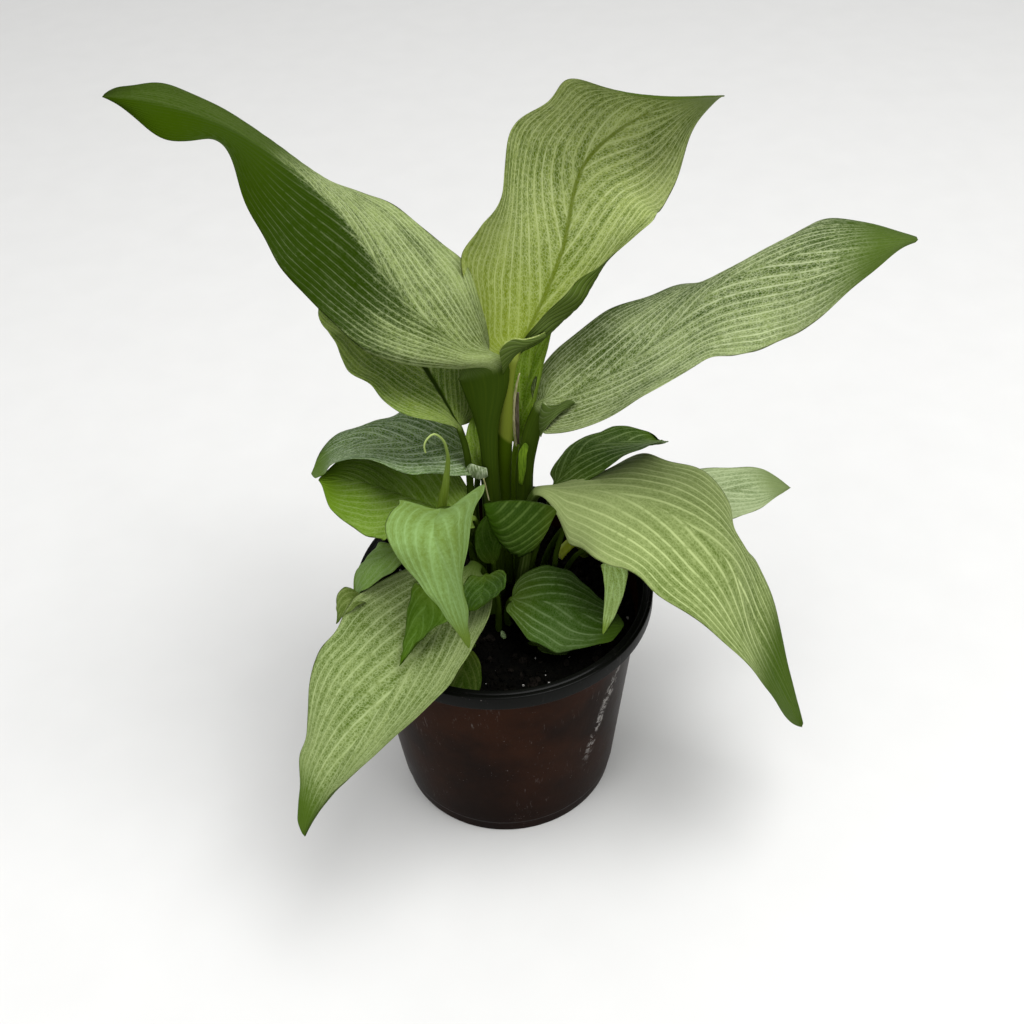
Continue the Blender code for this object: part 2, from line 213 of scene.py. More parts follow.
def rounded_profile(corners, radius, steps=5):
    """A profile whose inner corners are rounded: each corner becomes a short quadratic curve."""
    corners = np.asarray(corners, float)
    line = [corners[0]]
    share = np.linspace(0, 1, steps)[:, None]
    for before, corner, after in zip(corners[:-2], corners[1:-1], corners[2:]):
        back, on = before - corner, after - corner
        cut = min(radius, 0.45 * np.linalg.norm(back), 0.45 * np.linalg.norm(on))
        start = corner + back / np.linalg.norm(back) * cut
        end = corner + on / np.linalg.norm(on) * cut
        line.extend((1 - share) ** 2 * start + 2 * share * (1 - share) * corner + share ** 2 * end)
    line.append(corners[-1])
    return np.array(line)


def subdivide(line, step):
    """Extra points along a line so that none of its pieces is longer than step."""
    out = [line[0]]
    for start, end in zip(line[:-1], line[1:]):
        pieces = max(1, int(np.ceil(np.linalg.norm(end - start) / step)))
        out.extend(start + (end - start) * np.linspace(0, 1, pieces + 1)[1:, None])
    return np.array(out)


def pot_material():
    """Glossy black-brown plastic: darker rim, painted shade low down, dust specks, fine scratches and pale
    scuffs.
    """
    m = Material("pot_plastic")
    place = m.place()
    x, y, z = place[0], place[1], place[2]
    cloud = m.noise(place, 28.0, 4.0, 0.6)
    rim = z.ramp(0.0815, 0.0828)
    body = m.mix(cloud.ramp(0.35, 0.7), (0.0070, 0.0020, 0.0004), (0.025, 0.0075, 0.0022))
    # painted shade: the wall's colour darkens towards its foot
    body = m.mix(z.ramp(0.060, 0.004) * 0.6, body, (0.0035, 0.0010, 0.0004))
    colour = m.mix(rim, body, (0.0026, 0.0029, 0.0022))
    scratch = m.noise(m.stretched(place, 1.0, 1.0, 0.12), 900.0, 3.0, 0.7)
    patch = m.noise(place, 60.0, 2.0)
    scuff = scratch.ramp(0.60, 0.75) * patch.ramp(0.52, 0.66)
    dust = m.noise(place, 1500.0, 1.0).ramp(0.73, 0.78) * m.noise(place, 90.0).ramp(0.5, 0.62)
    worn = (scuff * 0.35 + dust * 0.5).math("MINIMUM", 1.0)
    colour = m.mix(worn, colour, (0.20, 0.18, 0.17))
    # pale crease where the thin wall was pinched, on the right-hand side: whitened plastic with a painted
    # highlight
    angle = y.math("ARCTAN2", x)
    wander = (m.noise(place, 70.0, 4.0, 0.7) - 0.5) * 0.16
    crease_and_highlight = (angle + 0.616 - (z - 0.078) * 6.2 + wander).math("ABSOLUTE").ramp(0.060, 0.015)
    crease_and_highlight = crease_and_highlight * m.noise(place, 420.0, 3.0, 0.7).ramp(0.46, 0.60) * z.ramp(0.026, 0.042)
    crease_and_highlight = crease_and_highlight * z.ramp(0.081, 0.077)
    colour = m.mix(crease_and_highlight * 0.6, colour, (0.42, 0.40, 0.38))
    rough = 0.24 + cloud * 0.18 + worn * 0.3 + rim * 0.06
    height = cloud * 0.5 + scratch * 0.10 + worn * 0.25
    return m.finish(Base_Color=colour, Roughness=rough, Normal=m.bump(height, 0.0006, 0.6),
                    Specular_IOR_Level=0.02, Coat_Weight=rim * 0.10, Coat_Roughness=0.22)


def wall_radius(height):
    """Outside radius of the pot's tapered wall."""
    return FOOT_OUTSIDE + (NECK_OUTSIDE - FOOT_OUTSIDE) * height / RIM_FOOT


def pressed(turn):
    """How far the rim is out of round at each angle, in mm: handled, and pressed in on the left."""
    dent = np.exp(-((np.mod(turn, 2 * np.pi) - np.pi) / 0.75) ** 2)
    return 0.22 * np.cos(2 * turn + 0.7) + 0.10 * np.cos(3 * turn + 2.0) - 3.6 * dent


def make_pot():
    """The pot's profile turned about its axis, slightly out of round, with its floor's holes cut."""
    profile = [
        (6.0, POT_FLOOR), (wall_radius(POT_FLOOR) - WALL, POT_FLOOR),
        (wall_radius(RIM_FOOT) - WALL, RIM_FOOT), (LIP_INSIDE, POT_HEIGHT - 0.8),
        (LIP_INSIDE + 0.3, POT_HEIGHT), (50.4, POT_HEIGHT - 0.15), (50.9, POT_HEIGHT - 0.45),
        (51.4, POT_HEIGHT - 0.1), (RIM_OUTSIDE, POT_HEIGHT - 0.2), (RIM_OUTSIDE, RIM_FOOT + 0.1),
        (RIM_OUTSIDE - 0.9, RIM_FOOT), (wall_radius(RIM_FOOT) + 0.1, RIM_FOOT + 0.3),
        (wall_radius(RIM_FOOT - 1.5), RIM_FOOT - 1.5), (wall_radius(6) + 0.35, 6.0),
        (wall_radius(5) - 0.05, 5.0), (wall_radius(0) - 0.1, 0.0), (wall_radius(0) - 3.0, 0.0),
        (wall_radius(0) - 3.8, FLOOR_LIFT), (6.0, FLOOR_LIFT)]
    line = subdivide(rounded_profile(profile, 0.45), 3.0)
    turn = np.linspace(0, 2 * np.pi, POT_SEGMENTS, endpoint=False)
    radius, height = line[:, 0][:, None], line[:, 1][:, None]
    up = np.clip(height / POT_HEIGHT, 0, 1)
    radius = radius + pressed(turn) * up ** 2 * (radius > 30)
    points = np.stack([radius * np.cos(turn), radius * np.sin(turn), height + 0 * turn], axis=-1)
    top_pole = len(line) * POT_SEGMENTS
    faces = grid_faces(len(line), POT_SEGMENTS) + fan_faces(0, POT_SEGMENTS, top_pole, flipped=True)
    faces += fan_faces(top_pole - POT_SEGMENTS, POT_SEGMENTS, top_pole + 1)
    points = np.concatenate([points.reshape(-1, 3), [(0, 0, POT_FLOOR), (0, 0, FLOOR_LIFT)]])
    pot = make_piece("pot", points, faces, pot_material(), "pot_plastic")
    for k in range(DRAIN_HOLES):
        angle = 2 * np.pi * (k + 0.5) / DRAIN_HOLES
        bpy.ops.mesh.primitive_cylinder_add(
            vertices=48, radius=HOLE_RADIUS * MM, depth=8 * MM,
            location=(HOLE_RING * MM * np.cos(angle), HOLE_RING * MM * np.sin(angle), 0))
        punch = bpy.context.active_object
        cut = pot.modifiers.new("hole", "BOOLEAN")
        cut.operation = "DIFFERENCE"
        cut.object = punch
        bpy.context.view_layer.update()
        evaluated = pot.evaluated_get(bpy.context.evaluated_depsgraph_get())
        cut_mesh = bpy.data.meshes.new_from_object(evaluated)
        pot.modifiers.clear()
        pot.data = cut_mesh
        bpy.data.objects.remove(punch)
    pot.data.shade_smooth()
    pot.data.set_sharp_from_angle(angle=np.radians(35))
    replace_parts(pot, "nursery_pot")


make_pot()


# ------------------------------------------------------------------ potting soil
# Damp dark potting mix: peat crumbs, bark chips and a few white grains of perlite, filled in
# loosely to about 14 mm below the rim, so that it buries the feet of the stalks.

SOIL_LEVEL = 74.9            # mean height of its surface, mm
SOIL_INSIDE = 46.4           # its radius at the surface, just inside the wall
SOIL_RINGS = 60
SOIL_SEGMENTS = 160


def soil_material(name, dark, light, scale):
    """Crumbly dark earth: brown and black grains, matt with damp glints."""
    m = Material(name)
    place = m.place()
    grain = m.noise(place, scale, 5.0, 0.7)
    speck = m.node("ShaderNodeTexVoronoi", {}, {"Vector": place, "Scale": scale * 2.2})
    colour = m.mix(grain.ramp(0.35, 0.72), dark, light)
    colour = m.mix(speck.ramp(0.12, 0.02) * 0.4, colour, (0.012, 0.010, 0.007))
    damp = m.noise(place, 260.0, 2.0)
    return m.finish(Base_Color=colour, Roughness=0.62 + damp * 0.35,
                    Normal=m.bump(grain + speck * 0.6, 0.0012, 0.9), Specular_IOR_Level=0.04)


def ripple(x, y, seed, scale):
    """A smooth bumpy field from about -1 to 1: plane waves of random direction, about one wavelength."""
    rng = np.random.default_rng(seed)
    total = np.zeros(np.broadcast(x, y).shape)
    for _ in range(9):
        direction, phase = rng.uniform(0, 2 * np.pi, 2)
        pace = 2 * np.pi / scale * rng.uniform(0.7, 1.4)
        total += np.sin(pace * (x * np.cos(direction) + y * np.sin(direction)) + phase)
    return total / 4.5


def soil_height(x, y):
    """Height of the soil's surface: a low crown at the stalks, lumps and crumbs."""
    crown = 0.9 * np.exp(-(x * x + y * y) / 500.0)
    return SOIL_LEVEL + crown + 0.75 * ripple(x, y, 1, 17) + 0.45 * ripple(x, y, 2, 6) \
        + 0.25 * ripple(x, y, 3, 2.6)


def make_soil():
    """A disc of rings under the height field, closed by the pot's inner taper and a flat base."""
    turn = np.linspace(0, 2 * np.pi, SOIL_SEGMENTS, endpoint=False)
    radii = np.linspace(SOIL_INSIDE / SOIL_RINGS, SOIL_INSIDE, SOIL_RINGS)[:, None]
    squeezed = radii * (1 + pressed(turn) / SOIL_INSIDE * (SOIL_LEVEL / POT_HEIGHT) ** 2)
    x, y = squeezed * np.cos(turn), squeezed * np.sin(turn)
    top = np.stack([x, y, soil_height(x, y)], axis=-1)
    clearance, shoulder = 0.3, 72.0
    base_radius = wall_radius(POT_FLOOR) - WALL - clearance
    sides = []
    for share in (0.3, 0.7, 1.0):
        radius = SOIL_INSIDE + (base_radius - SOIL_INSIDE) * share + pressed(turn) * (1 - share) ** 2
        height = shoulder + (POT_FLOOR + clearance - shoulder) * share
        sides.append(np.stack([radius * np.cos(turn), radius * np.sin(turn), height + 0 * turn], axis=-1))
    points = np.concatenate([top, np.array(sides)])
    rows, columns = points.shape[:2]
    top_pole = rows * columns
    faces = [face[::-1] for face in grid_faces(rows, columns)]
    faces += fan_faces(0, columns, top_pole)
    faces += fan_faces(top_pole - columns, columns, top_pole + 1, flipped=True)
    poles = [(0, 0, soil_height(0.0, 0.0)), (0, 0, POT_FLOOR + clearance)]
    points = np.concatenate([points.reshape(-1, 3), poles])
    earth = soil_material("soil_mix", (0.0008, 0.0008, 0.0006), (0.0030, 0.0026, 0.0016), 420.0)
    soil = make_piece("soil", points, faces, earth, "soil_mix")
    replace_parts(soil, "potting_soil")


def lump():
    """Points and faces of a 20-sided lump of unit radius."""
    g = (1 + 5 ** 0.5) / 2
    points = np.array([(-1, g, 0), (1, g, 0), (-1, -g, 0), (1, -g, 0), (0, -1, g), (0, 1, g),
                       (0, -1, -g), (0, 1, -g), (g, 0, -1), (g, 0, 1), (-g, 0, -1), (-g, 0, 1)], float)
    faces = np.array([(0, 11, 5), (0, 5, 1), (0, 1, 7), (0, 7, 10), (0, 10, 11), (1, 5, 9), (5, 11, 4),
                      (11, 10, 2), (10, 7, 6), (7, 1, 8), (3, 9, 4), (3, 4, 2), (3, 2, 6), (3, 6, 8),
                      (3, 8, 9), (4, 9, 5), (2, 4, 11), (6, 2, 10), (8, 6, 7), (9, 8, 1)])
    return points / np.linalg.norm(points[0]), faces


def scatter_lumps(name, count, sizes, flatness, seed, material):
    """Many lumps of random size, stretch and turn, half sunk in the soil's surface."""
    rng = np.random.default_rng(seed)
    shape, shape_faces = lump()
    turn = rng.uniform(0, 2 * np.pi, count)
    radius = (SOIL_INSIDE + pressed(turn)) * 0.97 * np.sqrt(rng.uniform(0, 1, count))
    x, y = radius * np.cos(turn), radius * np.sin(turn)
    size = sizes[0] * (sizes[1] / sizes[0]) ** rng.uniform(0, 1, count)
    stretch = size[:, None] * np.stack([rng.uniform(0.7, 1.5, count), rng.uniform(0.5, 1.0, count),
                                        rng.uniform(flatness, 0.9, count)], axis=1)
    rough = shape[None] * rng.uniform(0.75, 1.2, (count, len(shape), 1))
    local = rough * stretch[:, None]
    yaw, pitch = rng.uniform(0, 2 * np.pi, count), rng.uniform(-0.6, 0.6, count)
    lx = local[..., 0] * np.cos(pitch)[:, None] - local[..., 2] * np.sin(pitch)[:, None]
    lz = local[..., 0] * np.sin(pitch)[:, None] + local[..., 2] * np.cos(pitch)[:, None]
    wx = lx * np.cos(yaw)[:, None] - local[..., 1] * np.sin(yaw)[:, None]
    wy = lx * np.sin(yaw)[:, None] + local[..., 1] * np.cos(yaw)[:, None]
    centre = np.stack([x, y, soil_height(x, y) + 0.15 * size], axis=1)
    points = np.stack([wx, wy, lz], axis=-1) + centre[:, None]
    faces = (shape_faces[None] + len(shape) * np.arange(count)[:, None, None]).reshape(-1, 3)
    piece = make_piece(name, points.reshape(-1, 3), faces.tolist(), material, "soil_mix")
    piece.data.shade_flat()


make_soil()
scatter_lumps("soil_crumbs", 1500, (0.35, 1.3), 0.5, 11,
              soil_material("crumb_earth", (0.0009, 0.0009, 0.0006), (0.0044, 0.0036, 0.0022), 600.0))
scatter_lumps("bark_chips", 170, (0.9, 2.3), 0.25, 12,
              soil_material("bark", (0.0030, 0.0024, 0.0018), (0.014, 0.011, 0.0085), 500.0))
scatter_lumps("perlite_grains", 34, (0.25, 0.75), 0.6, 13,
              soil_material("perlite", (0.36, 0.35, 0.33), (0.62, 0.60, 0.56), 900.0))


# ------------------------------------------------------------------ leaves
# Each leaf grew as one piece: a fleshy stalk out of the crown, running on as the midrib of a thin
# satin blade. Fine parallel veins leave the midrib and sweep towards the tip, and the blade is
# slightly pleated along them. Pale frosting breaks into dark green flecks between the veins.

# a side vein that has reached u of its half has run up BEND * u + (1 - BEND) * u^3 of its sweep
BEND = 0.6
BLADE = 0.36                 # thickness of a blade, mm
CUP = 0.55                   # share of a half's lift that is lost towards the midrib
BLADE_START = 0.08           # share of the blade over which the stalk's oval turns into it
KEEL = 0.95                  # depth of the keel under the midrib, as a share of rib
GROOVE = 0.28                # depth of the groove above it
FOOT = 74.3                  # height of the stalks' feet, just under the soil's surface, mm
# points across half a ring, rings along the blade, rings along the stalk, cells along the blade
GRIDS = {"small": (24, 70, 18, 26), "middle": (60, 104, 24, 52), "large": (96, 170, 30, 105)}


def lengths_along(points):
    """Distance run along a line at each of its points, which may carry more than x, y and z."""
    return np.concatenate([[0.0], np.cumsum(np.linalg.norm(np.diff(points[:, :3], axis=0), axis=1))])


def smooth_path(stations, count):
    """Cubic Hermite curve through the stations, with slopes from their neighbours' differences."""
    stations = np.asarray(stations, float)
    along = lengths_along(stations)
    slope = np.gradient(stations, along, axis=0, edge_order=2 if len(stations) > 2 else 1)
    where = np.linspace(0, along[-1], count)
    k = np.clip(np.searchsorted(along, where, side="right") - 1, 0, len(along) - 2)
    span = (along[k + 1] - along[k])[:, None]
    u = ((where - along[k]) / (along[k + 1] - along[k]))[:, None]
    near = (1 + 2 * u) * (1 - u) ** 2 * stations[k] + u * (1 - u) ** 2 * span * slope[k]
    far = u * u * (3 - 2 * u) * stations[k + 1] + u * u * (u - 1) * span * slope[k + 1]
    return near + far


def at_fractions(path, fractions):
    """Points of a path at the given fractions of its length."""
    along = lengths_along(path)
    return np.stack([np.interp(fractions, along / along[-1], column) for column in path.T], axis=-1)


def smoothstep(value):
    """0 below 0, 1 above 1, and an even S-curve between."""
    value = np.clip(value, 0, 1)
    return value * value * (3 - 2 * value)


def directions_across(forward, level):
    """Unit vectors square to each forward one: the first as near to level as can be, then upward."""
    across = level - (forward @ level)[:, None] * forward
    across /= np.linalg.norm(across, axis=1, keepdims=True)
    return across, np.cross(across, forward)


def leaf_rings(heading, half_widths, base, tip, stalk, rib, foot, blade, grid, veins, sweep,
               trim=((0,), (0,)), ears=(0, 0), rolls=(), pleat=0.16, flutter=0.4, seed=0):
    """Rings from the stalk's foot to the blade's tip, with each point's (u, t, underside).

    A ring starts on the leaf's left, runs over its upper face to the right and back underneath.
    foot holds points of the stalk, and blade stations of the midrib, each with the lift of its left
    and of its right half in degrees. On the stalk a ring is an oval: stalk holds its half width and
    its depths below and above the midrib's line, at the foot, half way up and at the top. On the
    blade each half is lifted from the midrib by its own angle, and its width follows
    t^base * (1-t)^tip plus trim, millimetres at even steps of t for the left and the right margin.
    ears set each margin back towards the stalk at the base of the blade, and rolls,
    (side, t, spread, radius, length), curl a length of margin up, or under where the radius is
    negative. The surface is moved along its normal by pleats, a cosine of the vein count, and by
    flutter, a smooth wave that grows to the margin. A keel under the midrib and a shallow groove
    above it, both of rib's size, fade away from it.

    The trims given below were fitted by a separate program and rounded to 0.1 mm. Most stations and
    widths began in such a fit too, rounded to about a millimetre and a degree.
    """
    half_ring, blade_steps, stalk_steps = grid[:3]
    even = np.linspace(0, 1, blade_steps + 1)
    t_blade = 0.75 * even + 0.25 * (1 - np.cos(np.pi * even)) / 2
    foot = [(*point, *blade[0][3:]) for point in foot]
    whole = smooth_path(foot + blade, 600)
    join = np.argmin(np.linalg.norm(whole[:, :3] - np.array(blade[0][:3]), axis=1))
    lower = at_fractions(whole[:join + 1], np.linspace(0, 1, stalk_steps + 1))[:-1]
    path = np.concatenate([lower, at_fractions(smooth_path(blade, 600), t_blade)])
    spine = path[:, :3]

    forward = np.gradient(spine, axis=0)
    forward /= np.linalg.norm(forward, axis=1, keepdims=True)
    reach_of_mean = max(3, blade_steps // 7)
    kernel = np.hanning(2 * reach_of_mean + 1)
    padded = np.pad(forward, ((reach_of_mean, reach_of_mean), (0, 0)), mode="edge")
    forward = np.stack([np.convolve(column, kernel / kernel.sum(), mode="valid")
                        for column in padded.T], axis=1)
    forward /= np.linalg.norm(forward, axis=1, keepdims=True)
    level = np.array([np.sin(np.radians(heading)), -np.cos(np.radians(heading)), 0.0])
    across, upward = directions_across(forward, level)

    t = np.concatenate([np.linspace(-1, 0, stalk_steps + 1)[:-1], t_blade])
    on_blade = np.clip(t, 0, 1)
    widest = base / (base + tip)
    fullness = (on_blade / widest) ** base * ((1 - on_blade) / (1 - widest)) ** tip
    bladeness = smoothstep(on_blade / BLADE_START)[:, None, None]

    order = np.concatenate([np.arange(half_ring + 1), np.arange(half_ring - 1, 0, -1)])
    face = np.where(np.arange(2 * half_ring) <= half_ring, 1.0, -1.0)[None, :]
    u = (2 * order / half_ring - 1)[None, :]
    around = (np.pi * order / half_ring)[None, :]
    side, reach = np.sign(u), np.abs(u)

    low, high = smoothstep(-2 * t - 1)[:, None], smoothstep(2 * t + 1)[:, None] ** 3
    foot_size, middle_size, top_size = np.asarray(stalk, float)
    oval = (foot_size * low + middle_size * (1 - low - high) + top_size * high)[:, None]
    depth_here = np.where(face < 0, oval[..., 1], oval[..., 2])
    circle = (-np.cos(around) * oval[..., 0])[:, :, None] * across[:, None] \
        + (face * np.sin(around) * depth_here)[:, :, None] * upward[:, None]

    lift = np.radians(np.where(u < 0, path[:, 3, None], path[:, 4, None]))
    lift = lift * (1 - CUP * (1 - reach)) * (u != 0)
    extra = []
    kernel = np.hanning(2 * (blade_steps // 28) + 3)
    for steps in trim:
        steps = np.interp(t, np.linspace(0, 1, len(steps)), steps)
        steps = steps * smoothstep(t / 0.02) * smoothstep((1 - t) / 0.02)
        extra.append(np.convolve(steps, kernel / kernel.sum(), mode="same")[:, None])
    half = np.where(u < 0, half_widths[0], half_widths[1]) * fullness[:, None]
    extra = np.where(u < 0, extra[0], extra[1])
    outward = (side * np.cos(lift))[:, :, None] * across[:, None] \
        + np.sin(lift)[:, :, None] * upward[:, None]
    outward = outward * np.abs(side)[:, :, None]
    normal = (-side * np.sin(lift))[:, :, None] * across[:, None] \
        + np.cos(lift)[:, :, None] * upward[:, None]

    phase = veins / sweep * (t[:, None] - sweep * (BEND * reach + (1 - BEND) * reach ** 3)) + 0.17 * side
    away = np.maximum(reach * half + reach ** 3 * extra, 0)
    edge = np.maximum(half + extra, 0)
    shift = pleat * np.cos(2 * np.pi * phase) * smoothstep(away / 3) * smoothstep((1 - reach) / 0.2) \
        * smoothstep((1 - t[:, None]) / 0.2)
    start = np.random.default_rng(seed).uniform(0, 2 * np.pi, (2, 3))
    for k, count in enumerate((2.3, 3.9, 6.1)):
        angle = 2 * np.pi * count * t[:, None]
        wave = np.where(u < 0, np.sin(angle + start[0, k]), np.sin(angle + start[1, k]))
        shift = shift + flutter * wave * reach ** 2.5 / (1 + 0.6 * k)
    keel = rib * (1 - on_blade[:, None]) ** 0.7 * (1 - 0.25 * on_blade[:, None])
    depth = BLADE / 2 * np.sqrt(np.clip(1 - reach ** 6, 0, 1))
    raised_rib = np.where(face < 0, KEEL * keel, -GROOVE * keel)
    depth = depth + raised_rib * np.exp(-(away / (0.9 * keel + 0.05)) ** 2)
    along, raised, turned = away, 0 * away, 0 * away
    for roll_side, place, width, curl, length in rolls:
        share = np.exp(-((t[:, None] - place) / width) ** 4) * (side == roll_side)
        start_at = edge - np.minimum(length, 0.8 * edge) * share
        angle = np.clip(away - start_at, 0, None) / abs(curl)
        along = np.where(angle > 0, start_at + abs(curl) * np.sin(angle), along)
        raised = np.where(angle > 0, curl * (1 - np.cos(angle)), raised)
        turned = np.where(angle > 0, angle * np.sign(curl), turned)
    face_out = (face * depth + shift)[:, :, None] * (
        np.cos(turned)[:, :, None] * normal - np.sin(turned)[:, :, None] * outward)
    back = np.where(u < 0, ears[0], ears[1]) * reach ** 1.5 * (1 - smoothstep(t[:, None] / 0.25))
    section = along[:, :, None] * outward + raised[:, :, None] * normal + face_out \
        - back[:, :, None] * forward[:, None]

    rings = spine[:, None] + (1 - bladeness) * circle + bladeness * section
    rings[0, :, 2] = spine[0, 2] - 0.6
    under = np.where(reach > 0.999, 0.5, np.where(face < 0, 1.0, 0.0)) + 0 * t[:, None]
    layer = np.stack([u + 0 * under, t[:, None] + 0 * under, under], axis=-1)
    return rings[:-1], layer[:-1], spine[-1]


def make_leaf(name, material, slot, **shape):
    """One leaf as a closed surface: quads between its rings, a fan at the tip, a cap at the foot."""
    rings, layer, tip = leaf_rings(**shape)
    rows, columns = rings.shape[:2]
    points = np.concatenate([rings.reshape(-1, 3), tip[None]])
    values = np.concatenate([layer.reshape(-1, 3), [(0, 1, 0)]])
    faces = grid_faces(rows, columns) + fan_faces((rows - 1) * columns, columns, len(points) - 1)
    faces.append(list(range(columns - 1, -1, -1)))
    return make_piece(name, points, faces, material, slot, blade=values)


def shade(red, green, blue):
    """Linear colour of a display colour given in steps of 0 to 255."""
    display = np.array([red, green, blue]) / 255.0
    return tuple(float(v) for v in np.where(display < 0.04045, display / 12.92,
                                            ((display + 0.055) / 1.055) ** 2.4))


def leaf_material(name, deep, frost, vein, tip, veins, sweep, grain, cover=0.5, lit_right_half=0.0, painted_left_shade=0.0,
                  line=0.17, strength=0.62, mesh=0.75, contrast=0.8, base=(0.12, 0.16, 0.010),
                  base_share=0.2, base_end=0.35, tip_start=0.82, under=shade(54, 74, 10),
                  stalk=(0.030, 0.055, 0.004), rib=(0.05, 0.09, 0.008), rib_share=0.2, rib_width=0.03,
                  edge=(0.07, 0.085, 0.02), edge_share=0.15, shine=0.015, sheathed=0.0):
    """Satin leaf: frosting broken by deep green cells, pale side veins, a rib, and a green stalk.

    cover is the frosted share of the blade and lit_right_half how much more of it lies on the right
    half, painted light that makes that half paler; painted_left_shade is painted shade on the left
    half beyond the foot of the blade, taking frost and pale lines off it;
    sheathed darkens the lower two thirds of the stalk, where its neighbour's sheath covers it;
    line is a vein's width as a share of the gap between two; mesh is how strongly the net of
    fine veinlets shows, contrast how flecked the frosting is; grain counts cells along the blade.
    """
    m = Material(name)
    blade = m.node("ShaderNodeAttribute", {"attribute_name": "blade"}, {}, output="Vector")
    u, t, underside = blade[0], blade[1], blade[2]
    place = m.place()
    reach = u.math("ABSOLUTE")
    cloud = m.noise(place, 48.0, 3.0, 0.6)
    wobble = m.noise(place, 90.0, 2.0) - 0.5
    run = t - (reach * BEND + reach ** 3 * (1 - BEND)) * sweep
    phase = run * (veins / sweep) + u.math("SIGN") * 0.17 + wobble * 0.25
    gap = phase.math("PINGPONG", 0.5) * 2.0
    fine_gap = (phase * 3.0 + wobble).math("PINGPONG", 0.5) * 2.0
    broken = m.noise(place, 420.0, 2.0, 0.6)
    lines = gap.ramp(line * 1.6, line * 0.3) * broken.ramp(0.22, 0.5) * reach.ramp(1.0, 0.9)
    uneven = m.noise(m.vector(phase, t * 3.0, 0.0), 0.8, 1.0).ramp(0.25, 0.7)
    fine = fine_gap.ramp(0.42, 0.1) * broken.ramp(0.35, 0.6)

    woven = m.vector(phase * 4.2, t * grain, u.math("SIGN") * 5.0 + 0.5)
    cell = m.node("ShaderNodeTexVoronoi", {"feature": "DISTANCE_TO_EDGE"},
                  {"Vector": woven, "Scale": 1.0})
    fleck = m.noise(woven, 0.9, 2.0, 0.65)
    band = m.noise(m.vector(phase * 0.6, t * 2.0, u.math("SIGN") * 3.0), 1.0, 2.0)
    # painted light and shade: the tone rises across the blade from its left half to its right half
    tone = (cloud - 0.5) * 0.9 + (band - 0.5) * 0.6 + (fleck - 0.5) * contrast + cover + u * lit_right_half
    # painted shade: the left half beyond the foot of the blade is darkened, its frost and pale lines faded
    far = t.ramp(0.1, 0.55) * u.ramp(0.1, -0.2) * painted_left_shade
    tone = tone + (0.4 - gap) * 0.25 - far
    colour = m.mix(tone.ramp(0.1, 0.9), deep, frost)
    net = cell.ramp(0.17, 0.02) * (broken * 0.8 + 0.1) * tone.ramp(-0.4, 0.5)
    shown = tone.ramp(-0.5, 0.6) * 0.8 + 0.2
    pale = (lines * (uneven * 0.5 + 0.5) * strength).math("MAXIMUM", net * mesh)
    pale = pale.math("MAXIMUM", fine * strength * 0.3) * shown * (1.0 - far * 0.75)
    colour = m.mix(pale, colour, vein)
    colour = m.mix(t.ramp(base_end, 0.0) * base_share, colour, base)
    near_tip = (t + reach * 0.02 + (cloud - 0.5) * 0.05).ramp(tip_start - 0.04, tip_start + 0.12)
    colour = m.mix(near_tip * 0.9, colour, tip)
    on_rib = reach.ramp(rib_width * 1.5, rib_width * 0.5) * t.ramp(0.98, 0.6)
    colour = m.mix(on_rib * rib_share, colour, rib)
    colour = m.mix(reach.ramp(0.975, 1.0) * edge_share, colour, edge)

    below = m.mix(gap.ramp(0.25, 0.05) * 0.08 + cloud * 0.08, under, vein)
    colour = m.mix(underside.ramp(0.5, 0.6), colour, below)
    streak = m.noise(m.vector(u * 9.0, t * 2.0, 0.0), 1.0, 3.0, 0.6)
    stem = m.mix(streak.ramp(0.4, 0.75) * 0.15, stalk, base)
    stem = m.mix((t + u * 0.03).ramp(-0.29, -0.31) * sheathed, stem, under)
    colour = m.mix(t.ramp(0.03, -0.02), colour, stem)

    rough = 0.40 + tone * 0.05 + cloud * 0.14
    skin = m.noise(place, 2200.0, 2.0)
    height = (gap.ramp(0.0, 0.9) * 0.7 + cell * 0.25 + fine_gap * 0.12) * t.ramp(0.0, 0.06) + skin * 0.10
    return m.finish(Base_Color=colour, Roughness=rough, Normal=m.bump(height, 0.00035, 0.6),
                    Specular_IOR_Level=shine)


def round_stalk(foot, middle, top):
    """Radii of a thin round stalk, flatter on top where it meets the blade, and a keel to match."""
    flat = 0.7 * middle
    return dict(stalk=((foot,) * 3, (middle,) * 3, (top, middle, flat)), rib=flat)


def grow_leaf(name, slot, size, veins, sweep, look, **shape):
    """One leaf in its own colours, in place of its node.

    veins counts the side veins met from the midrib to the margin; sweep is the share of the
    blade's length that each of them covers on its way. look holds the settings of its material,
    its colours as display steps from 0 to 255.
    """
    look = {key: shade(*value) if isinstance(value, tuple) else value for key, value in look.items()}
    material = leaf_material(name, veins=veins, sweep=sweep, grain=GRIDS[size][3], **look)
    leaf = make_leaf(name, material, slot, grid=GRIDS[size], veins=veins, sweep=sweep, **shape)
    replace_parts(leaf, "leaf_" + name)


# ---------------------------------------------------------------- tall leaves
# The three largest leaves stand well above the rest, each on a stalk that broadens at its foot
# into a sheath round the crown; behind them the newest leaf is still rolled up along its midrib.

